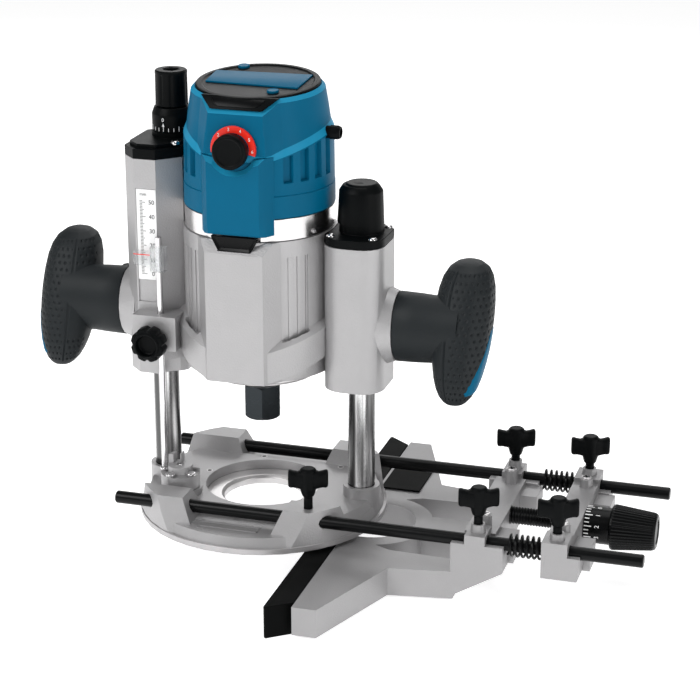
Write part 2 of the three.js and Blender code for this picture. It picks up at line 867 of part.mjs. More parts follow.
function motorHousing() {
  const outer = cut(join(motorShell(0, motorFoot), apron()), aboveTop(capThickness));
  const barrelClear = bar(barrelRadius + gap, [0, motorFoot], fineSides);
  const hollow = motorShell(motorWall, 0);
  const bridge = ring(
    upperBearingRadius + gap,
    motorWaistRadius - motorWall / 2,
    [bridgeHeight, bridgeHeight + bridgeThickness],
  );
  const vents = Array.from({ length: ventCount }, (_, i) => (
    bar(ventRadius, [bridgeHeight - overrun, bridgeHeight + bridgeThickness + overrun], smallSides)
      .translate(ventCircle, 0, 0)
      .rotateZ(((i + 1 / 2) * 2 * Math.PI) / ventCount)));
  const dialHole = towardsFront(bar(dialShaftRadius + gap, [0, 2 * drumRadius], smallSides))
    .translate(0, 0, dialZ);
  const glandHole = alongX(bar(glandNeckRadius + gap, [0, 2 * drumRadius], smallSides))
    .translate(0, glandY, glandZ);
  const shell = cut(outer, barrelClear, hollow);
  return cut(join(shell, cut(bridge, ...vents)), dialHole, glandHole);
}

function topCap() {
  const height = [motorTop / 2, 2 * motorTop];
  const visor = plate([
    [-visorFrontHalfWidth, visorFront],
    [visorFrontHalfWidth, visorFront],
    [visorHalfWidth, visorHinge],
    [-visorHalfWidth, visorHinge],
  ], height);
  const outline = join(bar(capRadius, height, fineSides), visor);
  return common(cut(outline, aboveTop(0)), aboveTop(capThickness - gap));
}

function speedDial() {
  const back = -apronUpperFront + gap;
  const knob = turned([
    [0, back],
    [dialRadius, back],
    [dialRadius, back + dialThickness - overrun / 2],
    [dialRadius - overrun / 2, back + dialThickness],
    [0, back + dialThickness],
  ]);
  const shaft = bar(dialShaftRadius, [back - dialShaftLength, back + dialThickness / 2], smallSides);
  return towardsFront(join(knob, shaft)).translate(0, 0, dialZ);
}

function lockButton() {
  const [half, foot] = [lockButtonHalfWidth, lockButtonFootHalfWidth];
  return tapered([-foot, foot], lockButtonY, [-half, half], lockButtonY, lockButtonZ);
}

function cableGland() {
  const face = motorFootRadius;
  const neck = glandNeckRadius;
  const outer = turned([
    [0, face - motorWall],
    [neck, face - motorWall],
    [neck, face],
    [glandRadius, face],
    [glandRadius, glandX - overrun],
    [glandRadius - overrun / 2, glandX],
    [0, glandX],
  ], smallSides);
  const bore = bar(glandBore, [0, glandX + overrun], smallSides);
  return alongX(cut(outer, bore)).translate(0, glandY, glandZ);
}

add('lower_end_plate', lowerEndPlate(), machinedAluminium);
add('motor_barrel', motorBarrel(), polishedSteel);
add('motor_housing', motorHousing(), bluePlastic);
add('top_cap', topCap(), blackPlastic);
add('speed_dial', speedDial(), blackPlastic);
add('spindle_lock_button', lockButton(), blackPlastic);
add('cable_gland', cableGland(), blackPlastic);

// Motor inside: spindle, armature, fan, collet, field, bearings, brushes and speed control.

const spindleFoot = 86;
const neckTop = 103;
const shaftStep = 205;
const colletRadius = 6.4;
const colletBore = 4.1;
const colletZ = [70, 98];
const nutAcross = 24;
const nutTurn = 0.29;
const nutZ = [67.5, 91.3];
const nutEdge = 1.2;
const nutBore = colletRadius + gap;
const armatureRadius = 22;
const armatureZ = [152, 198];
const commutatorRadius = 12;
const commutatorZ = [213, 229];
const fanRadius = 38;
const fanZ = [126, 128];
const fanBladeHeight = 9;
const fanBladeThickness = 1.6;
const fanBlades = 12;
const fanHubRadius = 12;
const airGap = 2;
const statorBore = armatureRadius + airGap;
const statorZ = [148, 202];
const brushHalf = 4;
const brushZ = [217, 225];
const boardHalfWidth = 20;
const boardThickness = 1.6;
const boardShare = 0.32;
const boardHeight = boardShare * motorHeight;
const boardY = 26;

function spindleShaft() {
  const shaft = turned([
    [0, spindleFoot],
    [neckRadius, spindleFoot],
    [neckRadius, neckTop],
    [shaftRadius, neckTop],
    [shaftRadius, shaftStep],
    [upperShaftRadius, shaftStep],
    [upperShaftRadius, spindleTop],
    [0, spindleTop],
  ]);
  return cut(shaft, bar(colletRadius + gap, [0, colletZ[1] + gap], smallSides));
}

function collet() {
  return ring(colletBore, colletRadius, colletZ, smallSides);
}

function colletNut() {
  const corner = nutAcross / Math.sqrt(3);
  const [low, high] = nutZ;
  const hex = turned([
    [0, low],
    [corner, low],
    [corner, high],
    [0, high],
  ], hexSides).rotateZ(nutTurn);
  const rounded = turned([
    [0, low],
    [nutAcross / 2, low],
    [corner + gap, low + 2 * nutEdge],
    [corner + gap, high - nutEdge],
    [nutAcross / 2 + gap, high],
    [0, high],
  ]);
  const neckBore = bar(neckRadius + gap, [spindleFoot - gap, high + overrun]);
  return cut(common(hex, rounded), bar(nutBore, [0, high], smallSides), neckBore);
}

function armatureCore() {
  const core = ring(shaftRadius + gap, armatureRadius, armatureZ);
  const bore = upperShaftRadius + gap;
  const sleeve = ring(
    shaftRadius + gap, commutatorRadius, [armatureZ[1] - overrun, shaftStep + gap], smallSides);
  const commutator = ring(bore, commutatorRadius, [shaftStep + gap, commutatorZ[1]], smallSides);
  return join(core, sleeve, commutator);
}

function coolingFan() {
  const hub = ring(shaftRadius + gap, fanHubRadius, [fanZ[0], fanZ[1] + fanBladeHeight], smallSides);
  const disc = ring(shaftRadius + gap, fanRadius, fanZ);
  const bladeX = [fanHubRadius - gap, fanRadius - gap];
  const bladeZ = [fanZ[0] + gap, fanZ[1] + fanBladeHeight];
  const blades = Array.from({ length: fanBlades }, (_, i) => (
    block(bladeX, [0, fanBladeThickness], bladeZ).rotateZ((i * 2 * Math.PI) / fanBlades)));
  return join(disc, hub, ...blades);
}

function statorCore() {
  return ring(statorBore, barrelBore - gap, statorZ);
}

function lowerBearing() {
  return ring(shaftRadius + gap, bearingRadius, [bearingFoot, bearingFoot + bearingHeight]);
}

function upperBearing() {
  const z = [bridgeHeight, bridgeHeight + upperBearingHeight];
  return ring(upperShaftRadius + gap, upperBearingRadius, z);
}

function brush(side) {
  const x = sided(side, [commutatorRadius + gap, barrelBore - 2 * gap]);
  return block(x, [-brushHalf, brushHalf], brushZ);
}

function controlBoard() {
  const foot = bridgeHeight + bridgeThickness + gap;
  return block(
    [-boardHalfWidth, boardHalfWidth], [boardY, boardY + boardThickness], [foot, foot + boardHeight]);
}

add('spindle_shaft', spindleShaft(), polishedSteel);
add('collet', collet(), polishedSteel);
add('collet_nut', colletNut(), blackSteel);
add('armature_core', armatureCore(), copper);
add('cooling_fan', coolingFan(), blackPlastic);
add('stator_core', statorCore(), siliconSteel);
add('bearing_lower', lowerBearing(), polishedSteel);
add('bearing_upper', upperBearing(), polishedSteel);
add('brush_left', brush(-1), carbon);
add('brush_right', brush(1), carbon);
add('electronics_board', controlBoard(), circuitGreen);

// Left housing: cap, fine depth knob with its scale ring, ruler, pointer, depth rod and clamp knob.

const capEdgeTop = 258.3;
const capDeckTop = 261;
const capDeckInset = 4;
const fineKnobX = -65;
const fineKnobY = 9;
const fineKnobRadius = 11.1;
const fineKnobZ = [281, 305.5];
const fineSpindleRadius = 3;
const fineSpindleFoot = 253;
const hexSocketAcross = 9;
const hexSocketDepth = 8;
const scaleRingRadius = 13.7;
const scaleRingZ = [264.6, 280.7];
const capBossRadius = 14;

const pointerZ = [176, 193];
const pointerPlateX = [-80.5, -59];
const pointerPlateY = [-30.6, -29.2];
const pointerPlateZ = [178.5, 189];
const pointerBlockX = [-66.5, -56.5];
const pointerBlockY = [-35.5, -28.7];
const depthRodTop = 199.5;

const clampKnobRadius = 12;
const clampKnobY = [41.2, 53];
const clampLobes = 8;
const clampLobeRadius = 3.2;
const clampDish = 5;
const clampDishRadius = 7.5;

function leftCap() {
  const plateLow = leftHousingTop + gap;
  const edge = plate(leftHousingOutline, [plateLow, capEdgeTop]);
  const middleX = (leftHousingOuter + leftHousingInner) / 2;
  const deckOutline = leftHousingOutline.map(([x, y]) => {
    const share = 1 - capDeckInset / -housingFront;
    return [middleX + (x - middleX) * share, y * share];
  });
  const deck = plate(deckOutline, [plateLow + gap, capDeckTop]);
  const boss = bar(capBossRadius, [plateLow + gap, scaleRingZ[0] - gap]).translate(fineKnobX, fineKnobY, 0);
  const tongue = block(capTongueX, capTongueY, [capTongueFoot, capEdgeTop]);
  const bore = bar(fineSpindleRadius + gap, [0, scaleRingZ[1]], smallSides)
    .translate(fineKnobX, fineKnobY, 0);
  const motorClear = bar(motorFootRadius + 2 * gap, [0, motorTop], fineSides);
  return cut(join(edge, deck, boss, tongue), bore, motorClear);
}

function depthFineKnob() {
  const [low, high] = fineKnobZ;
  const head = turned([
    [0, low],
    [fineKnobRadius, low],
    [fineKnobRadius, high - overrun / 2],
    [fineKnobRadius - overrun / 2, high],
    [0, high],
  ]);
  const spindle = bar(fineSpindleRadius, [fineSpindleFoot, low + overrun], smallSides);
  const socket = turned([
    [0, high - hexSocketDepth],
    [hexSocketAcross / Math.sqrt(3), high - hexSocketDepth],
    [hexSocketAcross / Math.sqrt(3), high + overrun],
    [0, high + overrun],
  ], hexSides);
  return cut(join(head, spindle), socket).translate(fineKnobX, fineKnobY, 0);
}

function depthScaleRing() {
  return ring(fineSpindleRadius + gap, scaleRingRadius, scaleRingZ).translate(fineKnobX, fineKnobY, 0);
}

function rulerPlate() {
  const back = housingFront + rulerRecess - gap;
  return block(rulerX, [back - rulerThickness, back], rulerZ);
}

function depthPointer() {
  const body = block(pointerBlockX, pointerBlockY, pointerZ);
  const window = block(pointerPlateX, pointerPlateY, pointerPlateZ);
  const bore = bar(depthRodRadius + gap, [0, pointerZ[1] + overrun], smallSides)
    .translate(depthRodX, depthRodY, 0);
  return cut(join(body, window), bore);
}

function depthRod() {
  return bar(depthRodRadius, [depthRodTip, depthRodTop], smallSides).translate(depthRodX, depthRodY, 0);
}

function depthClampKnob() {
  const [back, face] = clampKnobY;
  const head = turned([
    [0, back],
    [clampKnobRadius, back],
    [clampKnobRadius, face - overrun / 2],
    [clampKnobRadius - overrun / 2, face],
    [clampDishRadius, face],
    [clampDishRadius - overrun / 2, face - clampDish],
    [0, face - clampDish],
  ]);
  const notches = Array.from({ length: clampLobes }, (_, i) => (
    bar(clampLobeRadius, [0, face + overrun], smallSides)
      .translate(clampKnobRadius + clampLobeRadius / 2, 0, 0)
      .rotateZ((i * 2 * Math.PI) / clampLobes)));
  const tip = -depthRodY + depthRodRadius + gap;
  const shaft = bar(clampShaftRadius, [tip, back + overrun], smallSides);
  return towardsFront(join(cut(head, ...notches), shaft)).translate(clampX, 0, clampZ);
}

add('left_cap', leftCap(), blackPlastic);
add('depth_fine_knob', depthFineKnob(), blackPlastic);
add('depth_scale_ring', depthScaleRing(), blackPlastic);
add('ruler_plate', rulerPlate(), paleLabel);
add('depth_pointer', depthPointer(), clearPlastic);
add('depth_rod', depthRod(), polishedSteel);
add('depth_clamp_knob', depthClampKnob(), blackPlastic);

// Right housing: a flanged cap with a tall boot over the column.

const flangeTop = 207;
const bootRadius = 15.4;
const bootShoulder = [234.6, 14.2];
const bootBevel = [238, 12];
const bootTop = 240;

function rightCap() {
  const foot = rightHousingTop + gap;
  const flange = plate(rightHousingOutline, [foot, flangeTop]);
  const boot = turned([
    [0, foot],
    [bootRadius, foot],
    [bootShoulder[1], bootShoulder[0]],
    [bootBevel[1], bootBevel[0]],
    [bootBevel[1] - overrun, bootTop],
    [0, bootTop],
  ]).translate(columnX, 0, 0);
  const hollow = bar(collarBore + gap, [0, bootInnerTop]).translate(columnX, 0, 0);
  const drumClear = bar(drumRadius + gap, [0, bootTop], fineSides);
  return cut(join(flange, boot), hollow, drumClear);
}

add('right_cap', rightCap(), blackPlastic);

// Handles: an oval stem and a tapered grip that leans back, with a coloured inlay low on the outside.

const gripSides = 20;
const gripHalfHeight = 44.8;
const gripHalfWidth = 20.5;
const gripHalfDepth = 22;
const gripLean = 0.42;
const gripCentre = gripReach - gripHalfWidth;
const gripFootShares = [
  [-1, 0.08], [-0.985, 0.22], [-0.94, 0.4], [-0.87, 0.56], [-0.76, 0.7], [-0.61, 0.81],
];
const gripMiddleShares = [[-0.24, 0.96], [0.15, 1], [0.43, 0.98]];
const gripTopShares = [[0.62, 0.93], [0.78, 0.83], [0.89, 0.68], [0.96, 0.45], [0.99, 0.24], [1, 0.08]];
const inlayTurn = 0.4;
const inlayDepth = 7;
const inlayZ = [104, 147];
const inlayHalfWidth = 17;
const triggerX = [102, 120];
const triggerY = [14.5, 24];
const triggerZ = [131, 153];
const triggerTravel = 2.5;

function gripBody() {
  const levels = [...gripFootShares, ...gripMiddleShares, ...gripTopShares];
  const rings = levels.map(([heightShare, widthShare]) => {
    const width = gripHalfWidth * widthShare;
    const depth = gripHalfDepth * widthShare;
    const height = heightShare * gripHalfHeight;
    return Array.from({ length: gripSides }, (_, i) => {
      const angle = (2 * Math.PI * i) / gripSides;
      const x = gripCentre + width * Math.cos(angle);
      const y = gripLean * height + depth * Math.sin(angle);
      return new THREE.Vector3(x, y, gripHeight + height);
    });
  });
  return loft(rings);
}

function gripStem() {
  return alongX(bar(stemHalfHeight, [bossFace + gap, gripCentre]))
    .scale(1, stemDepthShare, 1)
    .translate(0, 0, gripHeight);
}

function inlayTool(clearance) {
  const inner = gripHalfWidth - inlayDepth - clearance;
  return block(
    [inner, 2 * gripHalfWidth],
    [-inlayHalfWidth - clearance, inlayHalfWidth + clearance],
    [inlayZ[0] - clearance, inlayZ[1] + clearance],
  ).rotateZ(inlayTurn).translate(gripCentre, gripLean * (inlayZ[0] - gripHeight) / 2, 0);
}

function handle() {
  const pocket = block(
    [triggerX[0] - gap, triggerX[1] + gap],
    [triggerY[0] - triggerTravel - gap, 2 * gripHalfDepth],
    [triggerZ[0] - gap, triggerZ[1] + gap],
  );
  return { whole: join(gripBody(), gripStem()), pocket };
}

function turnedAbout(geometry) {
  return geometryOf(solidOf(geometry.clone().scale(-1, 1, 1)));
}

const { whole: handleShape, pocket: triggerPocket } = handle();
const inlay = common(handleShape, inlayTool(0));
const plainGrip = cut(handleShape, inlayTool(gap));
add('grip_right', cut(plainGrip, triggerPocket), gripRubber);
add('grip_left', turnedAbout(plainGrip), gripRubber);
add('grip_inlay_right', inlay, bluePlastic);
add('grip_inlay_left', turnedAbout(inlay), bluePlastic);
add('power_trigger', block(triggerX, triggerY, triggerZ), blackPlastic);

// Plunge lock: a lever turning on a pin behind the left housing.

const leverRadius = 9;
const leverThickness = 6;
const leverLength = 42;
const leverTipRadius = 6;
const leverArmShare = 0.9;

function plungeLockLever() {
  const back = -housingFront + gap;
  const hub = bar(leverRadius, [back, back + leverThickness]);
  const tip = bar(leverTipRadius, [back, back + leverThickness], smallSides).translate(-leverLength, 0, 0);
  const arm = plate([
    [0, -leverRadius * leverArmShare],
    [0, leverRadius * leverArmShare],
    [-leverLength, leverTipRadius * leverArmShare],
    [-leverLength, -leverTipRadius * leverArmShare],
  ], [back, back + leverThickness]);
  const pin = bar(leverPinRadius, [back - leverPinLength, back + overrun], smallSides);
  return join(hub, tip, arm, pin).rotateX(-quarterTurn).translate(leverPivot[0], 0, leverPivot[1]);
}

add('plunge_lock_lever', plungeLockLever(), blackPlastic);

// Parallel guide: a ribbed casting with two black fence strips, running on the guide rods.

const fenceBack = fenceFace + fenceThickness + gap;
const fenceInner = 28;
const fenceEdge = 1.5;
const fenceSlant = 12;
const armTop = -2.2;
const armBottom = -22;
const armWall = 3.5;
const armSkin = 3;
const armTipX = 84;
const armTipY = 146;
const armKneeX = 111;
const armKneeY = 73;
const armInnerX = 104;
const armInnerY = 45;
const socketX = 80;
const socketRadius = 30;
const socketRim = 42;
const spineHalfWidth = 16;
const spineStart = 112;
const saddleStart = 151.7;
const saddleTopStart = 160.9;
const saddleTopEnd = 174.7;
const saddleTop = 25;
const saddleShoulder = 18.5;
const saddleToeHeight = 0.5;
const saddleHeelHeight = -20.3;
const saddleHalfWidth = 9;
const saddleInner = 46;
const beamX = [157, 178];
const beamZ = [-6, 20.5];
const wingBossRadius = 5.8;
const wingBossTipRadius = 4.7;
const wingBossTop = 31;
const smallBossX = 169;
const smallBossY = 40;
const smallBossRadius = 4.6;
const smallBossTop = 30;
const padReach = 12;
const padY = [28, 47];
const padTop = 16.5;
const innerWingFrontTop = 57;
const innerWingRearTop = 55;

const adjusterRadius = 6.2;

const platePatchX = [70.5, 99];
const platePatchY = [54, 101];
const platePatchTop = -0.8;

function inset(outline, wall) {
  const count = outline.length;
  const area = outline.reduce((sum, [x, y], i) => {
    const [nextX, nextY] = outline[(i + 1) % count];
    return sum + x * nextY - nextX * y;
  }, 0);
  const inward = ([x, y], [nextX, nextY]) => {
    const length = Math.hypot(nextX - x, nextY - y) * Math.sign(area);
    return [(y - nextY) / length, (nextX - x) / length];
  };
  return outline.map((point, i) => {
    const [ax, ay] = inward(outline[(i + count - 1) % count], point);
    const [bx, by] = inward(point, outline[(i + 1) % count]);
    const reach = wall / (1 + ax * bx + ay * by);
    return [point[0] + (ax + bx) * reach, point[1] + (ay + by) * reach];
  });
}

function tray(outline) {
  const hollow = plate(inset(outline, armWall), [armBottom - overrun, armTop - armSkin]);
  return cut(plate(outline, [armBottom, armTop]), hollow);
}

const armOutline = [
  [fenceBack, fenceInner],
  [armInnerX, armInnerY],
  [saddleStart + overrun, armInnerY + overrun],
  [saddleStart + overrun, rodY + saddleHalfWidth],
  [armKneeX, armKneeY],
  [armTipX, armTipY],
  [fenceBack, armTipY],
];

function saddle(end) {
  const outline = [
    [saddleStart, saddleHeelHeight],
    [innerShoulderEnd, saddleToeHeight],
    [innerShoulderEnd, saddleShoulder],
    [saddleTopEnd, saddleShoulder],
    [saddleTopEnd, saddleTop],
    [saddleTopStart, saddleTop],
    [saddleTopStart, saddleShoulder],
    [saddleStart, saddleShoulder],
  ];
  return sidePlate(outline, sided(end, [saddleInner, rodY + saddleHalfWidth]));
}

function bosses(wingX, foot) {
  return [-1, 1].flatMap((end) => [
    turned([
      [0, foot],
      [wingBossRadius, foot],
      [wingBossTipRadius, wingBossTop],
      [0, wingBossTop],
    ], smallSides).translate(wingX, end * rodY, 0),
    bar(smallBossRadius, [foot - overrun, smallBossTop], smallSides)
      .translate(wingX + smallBossX - innerWingX, end * smallBossY, 0),
  ]);
}

function pads(start, foot) {
  return [-1, 1].map((end) => {
    const x = [start - overrun, start + padReach];
    return block(x, sided(end, padY), [foot, padTop]);
  });
}

function rodBoreTools(from, to) {
  return [-rodY, rodY].map((y) => (
    alongX(bar(rodBore, [from - overrun, to + overrun], smallSides)).translate(0, y, rodHeight)));
}

function wingBoreTools(wingX) {
  return [-rodY, rodY].map((y) => (
    bar(wingBore, [rodHeight, wingBossTop + overrun], smallSides).translate(wingX, y, 0)));
}

function adjusterBore(from, to) {
  return alongX(bar(adjusterRadius + gap, [from - overrun, to + overrun])).translate(0, 0, adjusterHeight);
}

function fenceCasting() {
  const arms = [armOutline, mirrored(armOutline)].map(tray);
  const socketBand = block([fenceBack, socketX + socketRim], [-socketRim, socketRim], [armBottom, armTop]);
  const socketDisc = bar(socketRim, [armBottom, armTop], fineSides).translate(socketX, 0, 0);
  const socket = common(socketDisc, socketBand);
  const spine = tray([
    [spineStart, -spineHalfWidth],
    [beamX[0] + overrun, -spineHalfWidth],
    [beamX[0] + overrun, spineHalfWidth],
    [spineStart, spineHalfWidth],
  ]);
  const beam = block(beamX, [-saddleInner - overrun, saddleInner + overrun], beamZ);
  const foot = beamZ[1] - overrun;
  const body = join(
    ...arms, socket, spine, beam, saddle(-1), saddle(1), ...bosses(innerWingX, foot), ...pads(beamX[1], 0));
  const hole = bar(socketRadius, [armBottom - overrun, armTop + overrun], fineSides)
    .translate(socketX, 0, 0);
  const groove = ring(
    socketRadius + armWall, socketRim - armWall, [armBottom - overrun, armTop - armSkin], fineSides)
    .translate(socketX, 0, 0);
  return cut(
    body, hole, common(groove, socketBand), ...rodBoreTools(saddleStart, innerShoulderEnd),
    ...wingBoreTools(innerWingX), adjusterBore(beamX[0], beamX[1]));
}

function fenceStrip(end) {
  const outline = [
    [fenceFace, fenceInner],
    [fenceFace + fenceThickness, fenceInner],
    [fenceFace + fenceThickness, fenceHalfLength - fenceSlant],
    [fenceFace + fenceEdge, fenceHalfLength],
    [fenceFace, fenceHalfLength - fenceEdge],
  ];
  return plate(end > 0 ? outline : mirrored(outline), [fenceBottom, fenceTop]);
}

add('fence_casting', fenceCasting(), castAluminium);
add('fence_strip_front', fenceStrip(-1), blackPlastic);
add('fence_strip_rear', fenceStrip(1), blackPlastic);
add('guide_plate', block(platePatchX, platePatchY, [armTop + gap, platePatchTop]), blackPlastic);
add('guide_wing_inner_front', wingScrew(innerWingX, -rodY, innerWingFrontTop), blackPlastic);
add('guide_wing_inner_rear', wingScrew(innerWingX, rodY, innerWingRearTop), blackPlastic);

// Outer carriage: a bar across the rods that carries the fine adjuster.

const outerTopEnd = 229.4;
const outerShoulderEnd = 237.2;
const outerTop = 26.8;
const outerShoulder = 17.5;
const outerBottom = 1.2;
const outerChamfer = 1;
const outerMiddleZ = [4.5, 24];

function outerSaddle(end) {
  const outline = [
    [outerCarriageStart, outerBottom],
    [outerShoulderEnd - outerChamfer, outerBottom],
    [outerShoulderEnd, outerShoulder - overrun],
    [outerShoulderEnd, outerShoulder],
    [outerTopEnd, outerShoulder],
    [outerTopEnd, outerTop],
    [outerCarriageStart, outerTop],
  ];
  return sidePlate(outline, sided(end, [saddleInner, rodY + saddleHalfWidth]));
}

function outerCarriage() {
  const middle = block(
    [outerCarriageStart, outerTopEnd], [-saddleInner - overrun, saddleInner + overrun], outerMiddleZ);
  const foot = outerMiddleZ[1] - overrun;
  const saddles = [-1, 1].map(outerSaddle);
  const body = join(middle, ...saddles, ...bosses(outerWingX, foot), ...pads(outerTopEnd, outerBottom));
  return cut(
    body, ...rodBoreTools(outerCarriageStart, outerShoulderEnd + padReach), ...wingBoreTools(outerWingX),
    adjusterBore(outerCarriageStart, outerTopEnd));
}

add('outer_carriage', outerCarriage(), castAluminium);
add('guide_wing_outer_front', wingScrew(outerWingX, -rodY, innerWingFrontTop - overrun / 2), blackPlastic);
add('guide_wing_outer_rear', wingScrew(outerWingX, rodY, innerWingRearTop), blackPlastic);

// Guide springs: a coil round each rod between the two carriages.

const springRadius = 7;
const springWire = 1.3;
const springCurls = 6;
const curlSteps = 8;
const wireSides = 5;

function coilPath() {
  const length = outerCarriageStart - innerShoulderEnd - 2 * gap;
  const rise = length - 2 * springWire;
  const steps = springCurls * curlSteps;
  const points = Array.from({ length: steps + 1 }, (_, i) => {
    const angle = (2 * Math.PI * i) / curlSteps;
    return new THREE.Vector3(
      springWire + (rise * i) / steps, springRadius * Math.sin(angle), -springRadius * Math.cos(angle));
  });
  const first = new THREE.Vector3(0, points[0].y, points[0].z);
  const last = new THREE.Vector3(length, points[steps].y, points[steps].z);
  return [first, ...points, last];
}

function coil(path) {
  const count = path.length;
  const rings = path.map((point, i) => {
    const isEnd = i === 0 || i === count - 1;
    const along = isEnd
      ? new THREE.Vector3(1, 0, 0)
      : new THREE.Vector3().subVectors(path[i + 1], path[i - 1]).normalize();
    const outward = new THREE.Vector3(0, point.y, point.z).normalize();
    const across = new THREE.Vector3().crossVectors(along, outward).normalize();
    return Array.from({ length: wireSides }, (_, k) => {
      const angle = (2 * Math.PI * k) / wireSides;
      return point.clone()
        .addScaledVector(outward, (springWire / 2) * Math.cos(angle))
        .addScaledVector(across, (springWire / 2) * Math.sin(angle));
    });
  });
  return loft(rings);
}

function leastGap(path) {
  let least = Infinity;
  path.forEach((point, i) => {
    path.slice(i + curlSteps / 2).forEach((other) => {
      least = Math.min(least, point.distanceTo(other) - springWire);
    });
  });
  return least;
}

const springPath = coilPath();
console.log(`guide spring: least gap to itself ${leastGap(springPath).toFixed(2)} mm`);

function guideSpring(y) {
  return coil(springPath).translate(innerShoulderEnd + gap, y, rodHeight);
}

add('guide_spring_front', guideSpring(-rodY), blackSteel);
add('guide_spring_rear', guideSpring(rodY), blackSteel);

// Fine adjuster: a threaded spindle with a ribbed knob, and a scale ring that turns on it.

const adjusterStart = 160;
const adjusterScaleRadius = 12.6;
const adjusterScaleEnd = 247;
const adjusterKnobRadius = 15.6;
const adjusterKnobTipRadius = 12.4;
const adjusterKnobEdge = 1.5;

function fineAdjustKnob() {
  const start = adjusterScaleEnd + gap;
  const knob = turned([
    [0, start],
    [adjusterKnobRadius - adjusterKnobEdge, start],
    [adjusterKnobRadius, start + adjusterKnobEdge],
    [adjusterKnobTipRadius, rodEnd - adjusterKnobEdge],
    [adjusterKnobTipRadius - adjusterKnobEdge, rodEnd],
    [0, rodEnd],
  ]);
  const spindle = bar(adjusterRadius, [adjusterStart, start + overrun]);
  return alongX(join(knob, spindle)).translate(0, 0, adjusterHeight);
}

function fineAdjustScale() {
  return alongX(ring(adjusterRadius + gap, adjusterScaleRadius, [outerTopEnd + gap, adjusterScaleEnd]))
    .translate(0, 0, adjusterHeight);
}

add('fine_adjust_knob', fineAdjustKnob(), blackPlastic);
add('fine_adjust_scale', fineAdjustScale(), blackPlastic);

// The part's own frame stands at the middle of the underside of its box.

const frameX = (rodEnd - gripReach) / 2;
router.position.set(-frameX, 0, -fenceBottom);

export default router;
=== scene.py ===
import math

import bmesh
import bpy
from mathutils import Matrix, Vector


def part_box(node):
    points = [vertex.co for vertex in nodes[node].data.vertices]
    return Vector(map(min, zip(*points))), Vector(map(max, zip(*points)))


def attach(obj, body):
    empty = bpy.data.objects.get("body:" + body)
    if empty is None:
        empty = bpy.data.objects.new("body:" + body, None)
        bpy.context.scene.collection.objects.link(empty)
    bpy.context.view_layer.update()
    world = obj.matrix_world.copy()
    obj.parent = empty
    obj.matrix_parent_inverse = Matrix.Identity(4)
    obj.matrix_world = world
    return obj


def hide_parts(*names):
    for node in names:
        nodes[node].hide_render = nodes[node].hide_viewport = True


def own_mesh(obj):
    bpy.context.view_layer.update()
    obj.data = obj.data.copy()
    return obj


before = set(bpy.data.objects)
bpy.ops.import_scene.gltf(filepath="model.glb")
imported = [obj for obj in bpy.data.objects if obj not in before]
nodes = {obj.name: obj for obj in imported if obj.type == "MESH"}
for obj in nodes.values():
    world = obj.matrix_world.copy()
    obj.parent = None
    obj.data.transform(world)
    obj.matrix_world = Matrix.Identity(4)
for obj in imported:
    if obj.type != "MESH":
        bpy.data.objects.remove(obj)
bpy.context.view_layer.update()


# Camera: a long lens at the photograph's angle, from the front and a little to the right, looking down. It aims
# between the machine and its guide, from the distance that gives the photograph's foreshortening.
MM = 0.001
collet_low, collet_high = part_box("collet")
spindle_axis = (collet_low + collet_high) / 2
ORIGIN = Vector((spindle_axis.x, spindle_axis.y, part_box("base_casting")[0].z))
PHOTO_PIXELS = 700
CAMERA_FOCUS_PIXELS = 2090
CAMERA_AZIMUTH = math.radians(16.66)
CAMERA_ELEVATION = math.radians(19.51)
CAMERA_DISTANCE = 1421.6
CAMERA_AIM = (63.2, 0.0, 121.4)
SENSOR = 36.0

back = Vector((math.sin(CAMERA_AZIMUTH) * math.cos(CAMERA_ELEVATION),
               -math.cos(CAMERA_AZIMUTH) * math.cos(CAMERA_ELEVATION), math.sin(CAMERA_ELEVATION)))
camera_data = bpy.data.cameras.new("camera")
camera_data.sensor_width = SENSOR
camera_data.lens = SENSOR * CAMERA_FOCUS_PIXELS / PHOTO_PIXELS
camera = bpy.data.objects.new("camera", camera_data)
camera.location = ORIGIN + (Vector(CAMERA_AIM) + back * CAMERA_DISTANCE) * MM
camera.rotation_mode = "QUATERNION"
camera.rotation_quaternion = (-back).to_track_quat("-Z", "Y")
bpy.context.scene.collection.objects.link(camera)
bpy.context.scene.camera = camera
bpy.context.scene.view_settings.view_transform = "Standard"


# Floor and light: matt white paper lit from all round, as in a packshot, and soft lamps that give the metal its
# gradients. The surround is brighter low down, so that level faces stay a little darker than the paper.
def tone(code, alpha=1.0):
    """A linear colour from an sRGB hex value."""
    def linear(value):
        return value / 12.92 if value <= 0.04045 else ((value + 0.055) / 1.055) ** 2.4
    return tuple(linear(int(code[i:i + 2], 16) / 255) for i in (0, 2, 4)) + (alpha,)


def added(tree, kind, inputs=None, **settings):
    """A new node with its settings; each input is given a value or linked from another node's output."""
    node = tree.nodes.new(kind)
    for name, value in settings.items():
        setattr(node, name, value)
    for name, value in (inputs or {}).items():
        if isinstance(value, bpy.types.NodeSocket):
            tree.links.new(value, node.inputs[name])
        else:
            node.inputs[name].default_value = value
    return node


